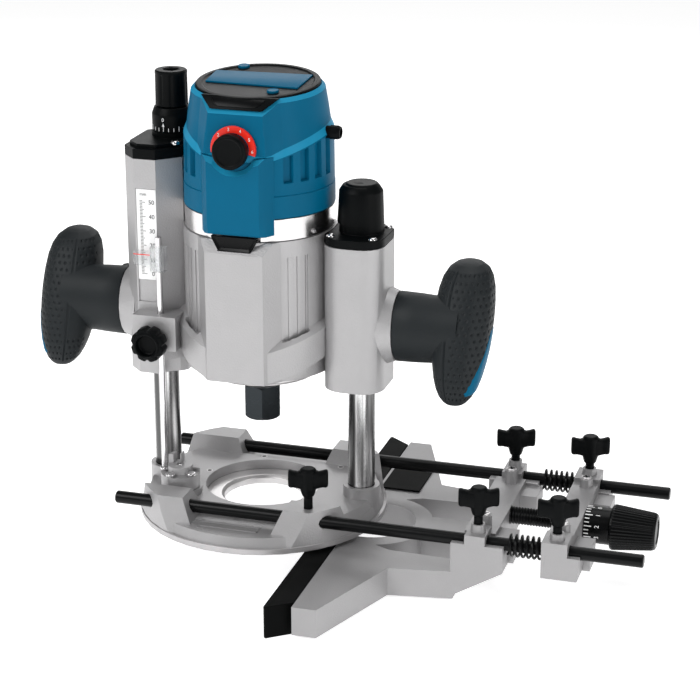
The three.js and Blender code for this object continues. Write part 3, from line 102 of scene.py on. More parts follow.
def surface(name, code, roughness, metallic=0.0, grain=0.1, grain_size=0.8, mottle=0.08,
            stretch=(1, 1, 1), specular=0.5, cloud_size=18.0):
    """A finish with a cloudy tone, uneven roughness and a fine grain; the pattern sizes are millimetres."""
    material = bpy.data.materials.new(name)
    material.use_nodes = True
    tree = material.node_tree
    place = added(tree, "ShaderNodeTexCoord")
    spread = added(tree, "ShaderNodeMapping", {"Vector": place.outputs["Object"], "Scale": stretch})
    broad, fine = [added(tree, "ShaderNodeTexNoise", {"Vector": spread.outputs["Vector"], "Detail": detail,
                                                      "Scale": 1 / (size * MM)}).outputs["Fac"]
                   for size, detail in ((cloud_size, 3), (grain_size, 2))]
    middle = Vector(tone(code)[:3])
    clouds = added(tree, "ShaderNodeMix", {"Factor": broad, "A": (*middle * (1 - mottle), 1),
                                           "B": (*middle * (1 + mottle), 1)}, data_type="RGBA")
    sheen = added(tree, "ShaderNodeMapRange", {"Value": broad, "To Min": max(roughness - 0.06, 0.02),
                                               "To Max": min(roughness + 0.06, 1.0)})
    relief = added(tree, "ShaderNodeBump", {"Height": fine, "Strength": grain, "Distance": 0.3 * MM})
    shader = tree.nodes["Principled BSDF"]
    tree.links.new(clouds.outputs["Result"], shader.inputs["Base Color"])
    tree.links.new(sheen.outputs["Result"], shader.inputs["Roughness"])
    tree.links.new(relief.outputs["Normal"], shader.inputs["Normal"])
    shader.inputs["Metallic"].default_value = metallic
    shader.inputs["Specular IOR Level"].default_value = specular
    return material


FLOOR_HALF = 6.0
FLOOR_GLOW = 0.66
SURROUND_LOW, SURROUND_HIGH = 0.93, 0.35
SURROUND_RISE = 0.6
SURROUND_STRENGTH = 0.5
floor_mesh = bpy.data.meshes.new("floor")
floor_mesh.from_pydata([(-FLOOR_HALF, -FLOOR_HALF, 0), (FLOOR_HALF, -FLOOR_HALF, 0),
                        (FLOOR_HALF, FLOOR_HALF, 0), (-FLOOR_HALF, FLOOR_HALF, 0)], [], [(0, 1, 2, 3)])
white_paper = surface("matt_white_paper", "FFFFFF", 0.8, grain=0.0, mottle=0.0, specular=0.0)
paper_shader = white_paper.node_tree.nodes["Principled BSDF"]
paper_shader.inputs["Emission Color"].default_value = (1, 1, 1, 1)
paper_shader.inputs["Emission Strength"].default_value = FLOOR_GLOW
floor_mesh.materials.append(white_paper)
floor = bpy.data.objects.new("floor", floor_mesh)
bpy.context.scene.collection.objects.link(floor)

world = bpy.data.worlds.new("surround")
bpy.context.scene.world = world
world.use_nodes = True
world_place = added(world.node_tree, "ShaderNodeTexCoord")
world_split = added(world.node_tree, "ShaderNodeSeparateXYZ", {"Vector": world_place.outputs["Generated"]})
world_ramp = added(world.node_tree, "ShaderNodeValToRGB", {"Fac": world_split.outputs["Z"]})
world_ramp.color_ramp.elements[0].color = (SURROUND_LOW, SURROUND_LOW, SURROUND_LOW, 1)
world_ramp.color_ramp.elements[1].position = SURROUND_RISE
world_ramp.color_ramp.elements[1].color = (SURROUND_HIGH, SURROUND_HIGH, SURROUND_HIGH, 1)
background = world.node_tree.nodes["Background"]
world.node_tree.links.new(world_ramp.outputs["Color"], background.inputs["Color"])
background.inputs["Strength"].default_value = SURROUND_STRENGTH

LAMPS = {"key": ((-0.9, -1.1, 1.3), (0.0, 0.0, 0.12), 0.9, 0.9, 16),
         "side": ((1.4, -0.7, 0.7), (0.0, 0.0, 0.15), 0.5, 1.2, 7),
         "top": ((0.1, 0.3, 1.6), (0.0, 0.0, 0.1), 1.2, 1.2, 9.5),
         "rear": ((-0.3, 1.5, 0.9), (0.0, 0.0, 0.15), 1.2, 0.6, 5)}
for name, (place, aim, width, height, power) in LAMPS.items():
    light = bpy.data.lights.new(name, "AREA")
    light.shape = "RECTANGLE"
    light.size, light.size_y = width, height
    light.energy = power
    lamp = bpy.data.objects.new(name, light)
    lamp.location = place
    lamp.rotation_mode = "QUATERNION"
    lamp.rotation_quaternion = (Vector(aim) - Vector(place)).to_track_quat("-Z", "Y")
    bpy.context.scene.collection.objects.link(lamp)


# Castings: the base, the carriage with its drum and two column housings, and the depth turret. They are die-cast
# aluminium, blasted to a fine even grain and lacquered, and then machined where they meet other parts.
# Blasting gives the eye a soft grey sheen without clear reflections. The grain is drawn as coarse as 1.1 mm, so
# that it shows.
def dressed(node, material, edge=0.5, segments=2, angle=28):
    """A CAD part that stays: its flat facets joined, its edges eased and its own material."""
    part = nodes[node]
    part.data.materials.clear()
    part.data.materials.append(material)
    part.data.shade_smooth()
    weld = part.modifiers.new("weld", "WELD")
    weld.merge_threshold = 0.005 * MM
    facets = part.modifiers.new("facets", "DECIMATE")
    facets.decimate_type = "DISSOLVE"
    facets.angle_limit = math.radians(0.6)
    if edge:
        bevel = part.modifiers.new("edges", "BEVEL")
        bevel.width = edge * MM
        bevel.segments = segments
        bevel.limit_method = "ANGLE"
        bevel.angle_limit = math.radians(angle)
        bevel.use_clamp_overlap = True
    normals = part.modifiers.new("normals", "WEIGHTED_NORMAL")
    normals.keep_sharp = True


blasted_aluminium = surface("blasted_aluminium", "ADACAD", 0.42, 0.55, grain=0.65, grain_size=1.1,
                            mottle=0.07)
for node in ("base_casting", "carriage_casting", "depth_turret"):
    dressed(node, blasted_aluminium, 0.9, 3)


# Sole rim: the edge of the round sole, turned after casting, so it is brighter than the wall above it and shows
# the cutter's uneven bands. It stops at the flat rear, where the casting was left as it came.
def moved(bm, matrix):
    bmesh.ops.transform(bm, matrix=matrix, verts=bm.verts)
    return bm


def grid(rows, wrap=True):
    """A skin over rows of points, from foot to top, closed round when wrap is set."""
    bm = bmesh.new()
    verts = [[bm.verts.new(point) for point in row] for row in rows]
    across = len(rows[0])
    for low, high in zip(verts, verts[1:]):
        for i in range(across if wrap else across - 1):
            j = (i + 1) % across
            bm.faces.new([low[i], low[j], high[j], high[i]])
    return bm


def capped(bm, rows):
    """Closes the two open ends of a wrapped grid."""
    bm.verts.ensure_lookup_table()
    across = len(rows[0])
    last = (len(rows) - 1) * across
    bm.faces.new([bm.verts[i] for i in range(across)])
    bm.faces.new([bm.verts[last + i] for i in range(across)])
    bmesh.ops.recalc_face_normals(bm, faces=bm.faces)
    return bm


def swept(loop, start, end, steps):
    """A closed outline of radii and heights swept part of the way round Z, with flat ends."""
    rows = []
    for k in range(steps + 1):
        a = math.radians(start + (end - start) * k / steps)
        rows.append([(r * math.cos(a), r * math.sin(a), z) for r, z in loop])
    return capped(grid(rows), rows)


def made(name, bm, *materials, sharp=32):
    """A finished object from a mesh in machine millimetres, with its place in its vertices."""
    mesh = bpy.data.meshes.new(name)
    moved(bm, Matrix.Translation(ORIGIN) @ Matrix.Scale(MM, 4))
    bm.to_mesh(mesh)
    bm.free()
    for material in materials:
        mesh.materials.append(material)
    mesh.shade_smooth()
    mesh.set_sharp_from_angle(angle=math.radians(sharp))
    piece = bpy.data.objects.new(name, mesh)
    bpy.context.scene.collection.objects.link(piece)
    return piece


RIM_EDGE = 86.85
RIM_ARC = (113.2, 426.8)
RIM_STEPS = 220
rim_loop = [(86.0, 0.3), (RIM_EDGE - 0.3, 0.3), (RIM_EDGE, 0.6), (RIM_EDGE, 3.8), (RIM_EDGE - 0.3, 4.1),
            (84.8, 4.1), (84.8, 3.5), (86.0, 3.5)]
turned_rim = surface("turned_aluminium_rim", "B5B3B4", 0.38, 0.55, grain=0.3, grain_size=1.6, mottle=0.14,
                     cloud_size=9.0)
sole_rim = made("sole_rim", swept(rim_loop, *RIM_ARC, RIM_STEPS), turned_rim)
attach(sole_rim, "base")


# Adaptor ring and lower end plate: the ring in the sole's opening that guide bushes screw to, and the plate that
# closes the motor below. Both are turned aluminium: bright, with a faint sheen and hardly any grain.
turned_aluminium = surface("turned_aluminium", "DAD8D8", 0.3, 0.75, grain=0.12, grain_size=0.5, mottle=0.05)
dressed("adaptor_ring", turned_aluminium, 0.3)
dressed("lower_end_plate", turned_aluminium, 0.5)


# Deck holes: four small holes drilled in the deck, with the bright ring that a countersink leaves. One shape is
# repeated at the four places, and a flat dark tone, the ruler's ink, stands for the shade at its bottom.
def lathe(profile, sides=96):
    """A closed skin of revolution about Z; a profile that starts and ends alike is a ring."""
    bm = bmesh.new()
    ring_shaped = profile[0] == profile[-1]
    points = profile[:-1] if ring_shaped else profile
    rings = []
    for radius, z in points:
        count = sides if radius > 0 else 1
        rings.append([bm.verts.new((radius * math.cos(2 * math.pi * i / sides),
                                    radius * math.sin(2 * math.pi * i / sides), z)) for i in range(count)])
    pairs = list(zip(rings, rings[1:])) + ([(rings[-1], rings[0])] if ring_shaped else [])
    for low, high in pairs:
        for i in range(sides):
            j = (i + 1) % sides
            corners = [low[i % len(low)], low[j % len(low)], high[j % len(high)], high[i % len(high)]]
            bm.faces.new(list(dict.fromkeys(corners)))
    bmesh.ops.recalc_face_normals(bm, faces=bm.faces)
    return bm


def softened(points, radius, steps=4, closed=False):
    """A polyline with its corners rounded."""
    count = len(points)
    result = []
    for i, point in enumerate(points):
        if not closed and i in (0, count - 1):
            result.append(tuple(point))
            continue
        here = Vector(point)
        before, after = Vector(points[i - 1]), Vector(points[(i + 1) % count])
        reach = min(radius, (before - here).length * 0.45, (after - here).length * 0.45)
        start = here + (before - here).normalized() * reach
        end = here + (after - here).normalized() * reach
        for k in range(steps + 1):
            t = k / steps
            result.append(tuple(start * (1 - t) ** 2 + here * 2 * t * (1 - t) + end * t ** 2))
    return result


def gathered(*parts):
    """Several closed skins as one mesh."""
    whole = bmesh.new()
    for part in parts:
        mesh = bpy.data.meshes.new("part")
        part.to_mesh(mesh)
        whole.from_mesh(mesh)
        part.free()
        bpy.data.meshes.remove(mesh)
    return whole


def painted(bm, index):
    for face in bm.faces:
        face.material_index = index
    return bm


def held(bm, name):
    """A passing object that carries a mesh into a geometry tree."""
    mesh = bpy.data.meshes.new(name)
    bm.to_mesh(mesh)
    bm.free()
    holder = bpy.data.objects.new(name, mesh)
    bpy.context.scene.collection.objects.link(holder)
    return holder


def dropped(holder):
    mesh = holder.data
    bpy.data.objects.remove(holder)
    bpy.data.meshes.remove(mesh)


def sized_tree(name, **sizes):
    """An empty geometry tree, and its inputs: one with a name for each size or other value it is given."""
    tree = bpy.data.node_groups.new(name, "GeometryNodeTree")
    tree.interface.new_socket("Geometry", in_out="OUTPUT", socket_type="NodeSocketGeometry")
    tree.interface.new_socket("Geometry", in_out="INPUT", socket_type="NodeSocketGeometry")
    for label, kind in sizes.items():
        tree.interface.new_socket(label, in_out="INPUT", socket_type="NodeSocket" + kind)
    return tree, added(tree, "NodeGroupInput").outputs


def ended(tree, geometry, finish):
    """Closes a geometry tree, with its instances made real and its material set."""
    real = added(tree, "GeometryNodeRealizeInstances", {"Geometry": geometry})
    dyed = added(tree, "GeometryNodeSetMaterial", {"Geometry": real.outputs["Geometry"], "Material": finish})
    added(tree, "NodeGroupOutput", {"Geometry": dyed.outputs["Geometry"]})


def grown(tree, source, **values):
    """The plain mesh that a geometry tree makes of a source mesh, in machine millimetres."""
    holder = held(source, "source")
    modifier = holder.modifiers.new("tree", "NODES")
    modifier.node_group = tree
    for item in tree.interface.items_tree:
        if item.name in values:
            modifier[item.identifier] = values[item.name]
    evaluated = holder.evaluated_get(bpy.context.evaluated_depsgraph_get())
    result = bpy.data.meshes.new_from_object(evaluated)
    holder.modifiers.remove(modifier)
    dropped(holder)
    bm = bmesh.new()
    bm.from_mesh(result)
    bpy.data.meshes.remove(result)
    bmesh.ops.recalc_face_normals(bm, faces=bm.faces)
    # Set Material leaves an empty first slot, so its faces count from the second.
    return painted(bm, 0)


# The tree sets one piece at every point, each turned on from the last by Turn. Every so many are longer.
repeats, given = sized_tree("repeats", Piece="Object", Turn="Float", Longer="Vector", Every="Int",
                            Longest="Vector", Seldom="Int", Finish="Material")
number = added(repeats, "GeometryNodeInputIndex").outputs["Index"]
turned = added(repeats, "ShaderNodeMath", {0: number, 1: given["Turn"]}, operation="MULTIPLY")
facing = added(repeats, "ShaderNodeCombineXYZ", {"Z": turned.outputs["Value"]})
rotation = added(repeats, "FunctionNodeEulerToRotation", {"Euler": facing.outputs["Vector"]})
stretched = (1, 1, 1)
for extra, each in (("Longer", "Every"), ("Longest", "Seldom")):
    rest = added(repeats, "ShaderNodeMath", {0: number, 1: given[each]}, operation="MODULO")
    hit = added(repeats, "ShaderNodeMath", {0: rest.outputs["Value"], 1: 0.5}, operation="LESS_THAN")
    more = added(repeats, "ShaderNodeVectorMath", {0: given[extra], "Scale": hit.outputs["Value"]},
                 operation="SCALE")
    total = added(repeats, "ShaderNodeVectorMath", {0: stretched, 1: more.outputs["Vector"]}, operation="ADD")
    stretched = total.outputs["Vector"]
shape = added(repeats, "GeometryNodeObjectInfo", {"Object": given["Piece"]})
copies = added(repeats, "GeometryNodeInstanceOnPoints",
               {"Points": given["Geometry"], "Instance": shape.outputs["Geometry"],
                "Rotation": rotation.outputs["Rotation"], "Scale": stretched})
ended(repeats, copies.outputs["Instances"], given["Finish"])


def repeated(piece, places, finish, turn=0.0, longer=(0, 0, 0), every=1, longest=(0, 0, 0), seldom=1):
    """One shape at every place, made by the repeats tree."""
    holder = held(piece, "piece")
    points = bmesh.new()
    for place in places:
        points.verts.new(place)
    result = grown(repeats, points, Piece=holder, Turn=turn, Longer=longer, Every=every, Longest=longest,
                   Seldom=seldom, Finish=finish)
    dropped(holder)
    return result


HOLES = ((-15.0, 44.5, 16.5), (44.0, 41.0, 16.5), (34.0, -47.5, 16.5), (-44.0, 8.5, 16.5))
HOLE_RADIUS = 1.5
hole_profile = [(0, 0.06), (HOLE_RADIUS, 0.06), (1.9, 0.22), (2.3, 0.05), (2.3, -0.8), (0, -0.8)]
# One dark tone serves as the ruler's printed ink and as painted shade at the bottoms of holes and slots.
dark_ink_and_shade = surface("dark_printing_ink_and_painted_shade", "2A2A2C", 0.5, grain=0.03, mottle=0.05)
rims = repeated(lathe(softened(hole_profile, 0.1, 2), 28), HOLES, turned_aluminium)
hole_floor = HOLES[0][2] + hole_profile[0][1]
# Faces on the hole's floor take the dark tone: painted shade.
for face in rims.faces:
    if face.normal.z > 0.5 and max(abs(vert.co.z - hole_floor) for vert in face.verts) < 0.02:
        face.material_index = 1
deck_holes = made("deck_holes", rims, turned_aluminium, dark_ink_and_shade, sharp=40)
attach(deck_holes, "base")


# Feed arrow: the outline of an arrow on the sole's front flat, which shows the way to feed. It is cast with the
# base, as a fine raised line, and has the base's own blasted finish.
def prism(outline, low, high):
    bm = bmesh.new()
    foot = [bm.verts.new((x, y, low)) for x, y in outline]
    top = [bm.verts.new((x, y, high)) for x, y in outline]
    bm.faces.new(foot)
    bm.faces.new(top)
    for i in range(len(outline)):
        j = (i + 1) % len(outline)
        bm.faces.new([foot[i], foot[j], top[j], top[i]])
    bmesh.ops.recalc_face_normals(bm, faces=bm.faces)
    return bm


def box(x, y, z):
    return prism([(x[0], y[0]), (x[1], y[0]), (x[1], y[1]), (x[0], y[1])], z[0], z[1])


FLAT_Z = 10.4
ARROW_Z = (FLAT_Z - 0.4, FLAT_Z + 0.35)
SHAFT_X = (-23.0, 19.0)
SHAFT_Y = (-70.7, -62.8)
HEAD_Y = (-73.5, -60.0)
TIP_X, TIP_Y = -32.6, -66.7
LINE = 0.8
arrow_parts = [box(SHAFT_X, (SHAFT_Y[0], SHAFT_Y[0] + LINE), ARROW_Z),
               box(SHAFT_X, (SHAFT_Y[1] - LINE, SHAFT_Y[1]), ARROW_Z),
               box((SHAFT_X[1] - LINE, SHAFT_X[1]), SHAFT_Y, ARROW_Z),
               box((SHAFT_X[0], SHAFT_X[0] + LINE), (HEAD_Y[0], SHAFT_Y[0]), ARROW_Z),
               box((SHAFT_X[0], SHAFT_X[0] + LINE), (SHAFT_Y[1], HEAD_Y[1]), ARROW_Z),
               prism([(SHAFT_X[0], HEAD_Y[0]), (-22.4, -72.8), (-31.6, -66.4), (TIP_X, TIP_Y)], *ARROW_Z),
               prism([(SHAFT_X[0], HEAD_Y[1]), (TIP_X, TIP_Y), (-31.6, -67.0), (-22.4, -60.7)], *ARROW_Z)]
feed_arrow = made("feed_arrow", gathered(*arrow_parts), blasted_aluminium)
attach(feed_arrow, "base")


# Turret screws and pin: three stop screws with cross heads stand in the turret, and the turret turns on a pin.
# All are ground and polished steel, with clear reflections that the grinding draws out along the axis.
def shifted(bm, x=0.0, y=0.0, z=0.0):
    return moved(bm, Matrix.Translation((x, y, z)))


def spun(bm, degrees, axis="Z"):
    return moved(bm, Matrix.Rotation(math.radians(degrees), 4, axis))


CROSS_HALF = 0.55
CROSS_PROUD, CROSS_SUNK = 0.06, 0.2
HEAD_DEPTH = 1.0


def cross_heads(name, body, places, radius, height, metal, turn=20):
    """Pan heads with a dark cross, painted shade for the cross slot, one at every place, on the body that they
    are screwed to.
    """
    head = lathe(softened([(0, height), (radius * 0.85, height), (radius, height * 0.6), (radius, -HEAD_DEPTH),
                           (0, -HEAD_DEPTH)], 0.3, 3), 32)
    arms = [spun(box((-radius * 0.72, radius * 0.72), (-CROSS_HALF, CROSS_HALF),
                     (height - CROSS_SUNK, height + CROSS_PROUD)), turn + quarter) for quarter in (0, 90)]
    # The crosses stand a hair proud and take the dark tone: painted shade for the slots.
    crosses = painted(repeated(gathered(*arms), places, dark_ink_and_shade), 1)
    heads = repeated(spun(head, turn), places, metal)
    piece = made(name, gathered(heads, crosses), metal, dark_ink_and_shade, sharp=40)
    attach(piece, body)


ground_steel = surface("ground_steel", "D9D8D9", 0.13, 1.0, grain=0.03, mottle=0.03, stretch=(1, 1, 0.03))
TURRET = (-50.5, -31.5)
STOP = (-61.8, -31.4)
STOP_TOP = 32.7
STOP_STEP = math.pi * 0.42
stop_angle = math.atan2(STOP[1] - TURRET[1], STOP[0] - TURRET[0])
stop_circle = math.hypot(STOP[0] - TURRET[0], STOP[1] - TURRET[1])
stop_places = [(TURRET[0] + stop_circle * math.cos(stop_angle + k * STOP_STEP),
                TURRET[1] + stop_circle * math.sin(stop_angle + k * STOP_STEP), STOP_TOP) for k in range(3)]
cross_heads("turret_screws", "turret", stop_places, 3.3, 0.85, ground_steel)
dressed("turret_pin", ground_steel, 0)


# Plunge columns: two ground and polished steel tubes, pressed into the collars of the base. The upright light
# and dark bands that a mirror tube shows of the room are a painted reflection, laid into the colour round each
# column's own axis.
PAINTED_REFLECTION_BANDS = ((0.0, 0.32), (0.06, 0.8), (0.11, 0.5), (0.14, 0.08), (0.205, 0.1), (0.235, 0.9), (0.275, 1.0),
               (0.309, 0.5), (0.33, 1.0), (0.357, 0.35), (0.393, 0.65), (0.43, 0.4), (0.46, 0.05), (0.5, 0.1),
               (0.54, 0.7), (0.62, 0.95), (0.72, 0.35), (0.8, 0.08), (0.87, 0.75), (0.94, 0.4), (1.0, 0.32))


def polished(name, node):
    """Polished steel with a painted reflection: soft light and dark bands in its colour round the axis of a
    standing part.
    """
    material = surface(name, "E6E5E6", 0.26, 1.0, grain=0.04, mottle=0.02, stretch=(1, 1, 0.03))
    tree = material.node_tree
    low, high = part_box(node)
    centre = nodes[node].matrix_world.inverted() @ ((low + high) / 2)
    place = added(tree, "ShaderNodeTexCoord")
    centred = added(tree, "ShaderNodeMapping", {"Vector": place.outputs["Object"],
                                                "Location": (-centre.x, -centre.y, 0)})
    turn = added(tree, "ShaderNodeTexGradient", {"Vector": centred.outputs["Vector"]}, gradient_type="RADIAL")
    # The ramp paints the reflection's light and dark bands into the base colour.
    bands = added(tree, "ShaderNodeValToRGB", {"Fac": turn.outputs["Fac"]})
    bands.color_ramp.interpolation = "EASE"
    for _ in PAINTED_REFLECTION_BANDS[2:]:
        bands.color_ramp.elements.new(0.5)
    for element, (spot, level) in zip(bands.color_ramp.elements, PAINTED_REFLECTION_BANDS):
        element.position = spot
        element.color = (level, level, level, 1)
    tree.links.new(bands.outputs["Color"], tree.nodes["Principled BSDF"].inputs["Base Color"])
    return material


for node in ("column_left", "column_right"):
    dressed(node, polished(node + "_steel", node), 0)


# Plunge springs: long compression springs inside the columns, wound cold from blackened wire. They push the
# carriage up, and shorten as it goes down. Blackening leaves the steel near black, with a small soft sheen.
def blended(low, high, amount):
    return low + (high - low) * amount


# The tree winds a round wire into a coil about Z, from z = 0 up.
coils, given = sized_tree("coils", Turns="Float", Steps="Int", Radius="Float", Length="Float", Wire="Float",
                          Sides="Int", Finish="Material")
helix = added(coils, "GeometryNodeCurveSpiral",
              {"Rotations": given["Turns"], "Resolution": given["Steps"], "Start Radius": given["Radius"],
               "End Radius": given["Radius"], "Height": given["Length"], "Reverse": True})
section = added(coils, "GeometryNodeCurvePrimitiveCircle",
                {"Resolution": given["Sides"], "Radius": given["Wire"]})
wound = added(coils, "GeometryNodeCurveToMesh",
              {"Curve": helix.outputs["Curve"], "Profile Curve": section.outputs["Curve"], "Fill Caps": True})
ended(coils, wound.outputs["Mesh"], given["Finish"])

blackened_steel = surface("blackened_steel", "070809", 0.3, grain=0.05, mottle=0.15, specular=0.16)
PLUNGE_FOOT = 9.6
PLUNGE_COIL_RADIUS = 5.1
PLUNGE_COIL_WIRE = 0.6
PLUNGE_COIL_END = 0.7
PLUNGE_COIL_PITCH = 4.2
PLUNGE_COIL_STEPS = 18
PLUNGE_COIL_SIDES = 6
PLUNGE_COILS = {"left": (-71.0, 251.5, 0.68), "right": (71.0, 235.2, 0.655)}
for side, (x, top, keep) in PLUNGE_COILS.items():
    turns = int((top - PLUNGE_FOOT) / PLUNGE_COIL_PITCH)
    wire = grown(coils, bmesh.new(), Turns=float(turns), Steps=PLUNGE_COIL_STEPS, Radius=PLUNGE_COIL_RADIUS,
                 Length=top - PLUNGE_FOOT - 2 * PLUNGE_COIL_END, Wire=PLUNGE_COIL_WIRE,
                 Sides=PLUNGE_COIL_SIDES, Finish=blackened_steel)
    coil = made("plunge_coil_" + side, shifted(wire, x, 0.0, PLUNGE_FOOT + PLUNGE_COIL_END), blackened_steel)
    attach(coil, "base")
    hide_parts("column_spring_" + side)
    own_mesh(coil)


# Column bushes: sintered bronze sleeves pressed into the carriage, which slide on the columns. Oil in the bronze
# leaves them a dull brown gold.
sintered_bronze = surface("sintered_bronze", "A98548", 0.35, 0.9, grain=0.1, mottle=0.1)
for node in ("column_bush_left", "column_bush_right"):
    dressed(node, sintered_bronze, 0.2)


# Drum band: the turned foot of the carriage's drum, bright below the cast skirt. It is left open beside the
# turret, which comes up there when the carriage is down. Turning draws its reflections out round the drum.
fine_turned = surface("fine_turned_metal", "DAD8D8", 0.2, 1.0, grain=0.05, mottle=0.04,
                      stretch=(0.05, 0.05, 1))
BAND_RADIUS = 51.4
BAND_DEPTH = 1.6
BAND_Z = (110.2, 121.0)
BAND_ARC = (-128, 190)
BAND_STEPS = 150
band_loop = [(BAND_RADIUS - BAND_DEPTH, BAND_Z[0]), (BAND_RADIUS, BAND_Z[0]), (BAND_RADIUS, BAND_Z[1]),
             (BAND_RADIUS - BAND_DEPTH, BAND_Z[1])]
band_skin = swept(softened(band_loop, 0.4, 2, closed=True), *BAND_ARC, BAND_STEPS)
drum_band = made("drum_band", band_skin, fine_turned)
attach(drum_band, "carriage")


# Housing caps and boot: black covers on top of the two column housings, moulded in glass-filled nylon. The right
# one carries the column's boot, whose second layer is wrapped over its left half and ends in a seam.
# Moulding leaves nylon a fine dull grain, with next to no highlight.
moulded_nylon = surface("moulded_black_nylon", "050708", 0.42, grain=0.25, grain_size=0.6, mottle=0.15,
                        specular=0.08)
for node in ("left_cap", "right_cap"):
    dressed(node, moulded_nylon, 0.6, 3)
BOOT_AXIS = (71.0, 0.0)
BOOT_SPREAD = (123, 303)
BOOT_STEPS = 60
boot_loop = [(15.0, 213.2), (16.0, 213.2), (15.3, 224.0), (14.8, 234.4), (14.5, 235.2), (12.5, 238.2),
             (11.9, 238.6), (4.0, 240.35), (0.05, 240.4), (0.05, 239.4), (11.0, 237.0), (13.4, 234.0)]
boot_skin = shifted(swept(boot_loop, *BOOT_SPREAD, BOOT_STEPS), *BOOT_AXIS)
boot_cover = made("boot_cover", boot_skin, moulded_nylon, sharp=40)
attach(boot_cover, "carriage")


# Cap screws: low domed heads of polished steel, three round the right cap and one in the left. They are pressed
# cold and hold the covers down on the housings.
DOME_RADIUS = 3.0
CAP_SCREWS = ((55.6, -19.4, 207.0), (84.6, -19.6, 207.0), (86.4, 12.0, 207.0), (-54.2, -14.4, 261.0))
dome = lathe(softened([(0, 1.7), (DOME_RADIUS * 0.6, 1.45), (DOME_RADIUS, 0.3), (DOME_RADIUS, -1.0), (0, -1.0)],
                      0.5, 3), 32)
cap_screws = made("cap_screws", repeated(dome, CAP_SCREWS, ground_steel), ground_steel)
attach(cap_screws, "carriage")


# Spindle group: the shaft runs in two ball bearings and carries the collet, all of ground steel. The nut that
# closes the collet is blued, which leaves it dark, with the sheen of metal.
for node in ("spindle_shaft", "collet"):
    dressed(node, ground_steel, 0)
for node in ("bearing_lower", "bearing_upper"):
    dressed(node, ground_steel, 0.3)
blued_steel = surface("blued_steel", "303437", 0.28, 0.9, grain=0.12, mottle=0.12)
dressed("collet_nut", blued_steel, 0.3)


# Motor inside: a copper-wound armature with its fan, a stator of stacked silicon steel, two carbon brushes and
# the board of the speed control. The stack shows as fine lines across the axis; the rest is dull.
wound_copper = surface("wound_copper", "B06A40", 0.35, 0.9, grain=0.2, mottle=0.15)
stacked_steel = surface("stacked_silicon_steel", "6B6D70", 0.45, 0.7, grain=0.2, mottle=0.1, stretch=(1, 1, 8))
pressed_carbon = surface("pressed_carbon", "2B2B2D", 0.7, grain=0.2, mottle=0.1)
masked_board = surface("solder_masked_board", "2F6B45", 0.4, grain=0.1, mottle=0.2)
dressed("armature_core", wound_copper, 0.3)
dressed("cooling_fan", moulded_nylon, 0)
dressed("stator_core", stacked_steel, 0.3)
for node in ("brush_left", "brush_right"):
    dressed(node, pressed_carbon, 0.3)
dressed("electronics_board", masked_board, 0.1)


# Motor barrel: the bright ring between the blue shell and the casting, turned in one with the motor's body and
# clamped in the drum. It has the same drawn-out reflections as the drum band.
dressed("motor_barrel", fine_turned, 0.3)


# Motor shell: blue glass-filled nylon, moulded in one piece and screwed down over the barrel. Its lower half
# stands proud under a sweeping bevelled edge, its front is a flat panel, and four slots a side let the air out.
# The satin mould gives a dull, even blue; the bevels are a paler blue, a painted highlight for the light they
# catch.
SHELL_SIDES = 360
SHELL_FOOT = 222.3
SHELL_RADIUS = 51.0
SHELL_SEAM = 237.6
SLOT_FOOT = 246.0
SLOT_ANGLES = (41, 55, 69, 83)
SLOT_HALF = 3.5
SLOT_DEPTH = 3.0
SWEEP_FRONT = 260.5
SWEEP_SIDE = 274.0
SWEEP_ANGLES = (27, 107)
SWEEP_RISE = 4.6
UPPER_RADIUS = 48.0
RIM_RADIUS = 44.6
RIM_SIDE = 302.0
RIM_SLOPE = 0.05
RIM_BEVEL = 2.6
RIM_INWARD = (0.0, 0.0, 0.0, 2.4, 3.2, 3.4)
NOTCH_FOOT = 293.4
NOTCH_ANGLES = (22, 35)
PANEL_HALF = (22.0, 18.0)
PANEL_DEPTH = (50.5, 46.4)
PANEL_SPREAD = 38
PAINTED_HIGHLIGHT_LEVELS = (10, 13)


def share(value, low, high):
    return min(max((value - low) / (high - low), 0.0), 1.0)


def panelled(angle, radius, z):
    """The shell's radius at an angle, where a flat panel closes its front."""
    up = share(z, SWEEP_FRONT, NOTCH_FOOT)
    half, depth = blended(*PANEL_HALF, up), blended(*PANEL_DEPTH, up)
    turn = abs(angle)
    if turn <= math.degrees(math.atan2(half, depth)):
        return depth / math.cos(math.radians(turn))
    if turn >= PANEL_SPREAD:
        return radius
    edge = Vector((half, depth))
    end = Vector((math.sin(math.radians(PANEL_SPREAD)), math.cos(math.radians(PANEL_SPREAD)))) * radius
    side = end - edge
    ray = Vector((math.sin(math.radians(turn)), math.cos(math.radians(turn))))
    return (edge.x * side.y - edge.y * side.x) / (ray.x * side.y - ray.y * side.x)


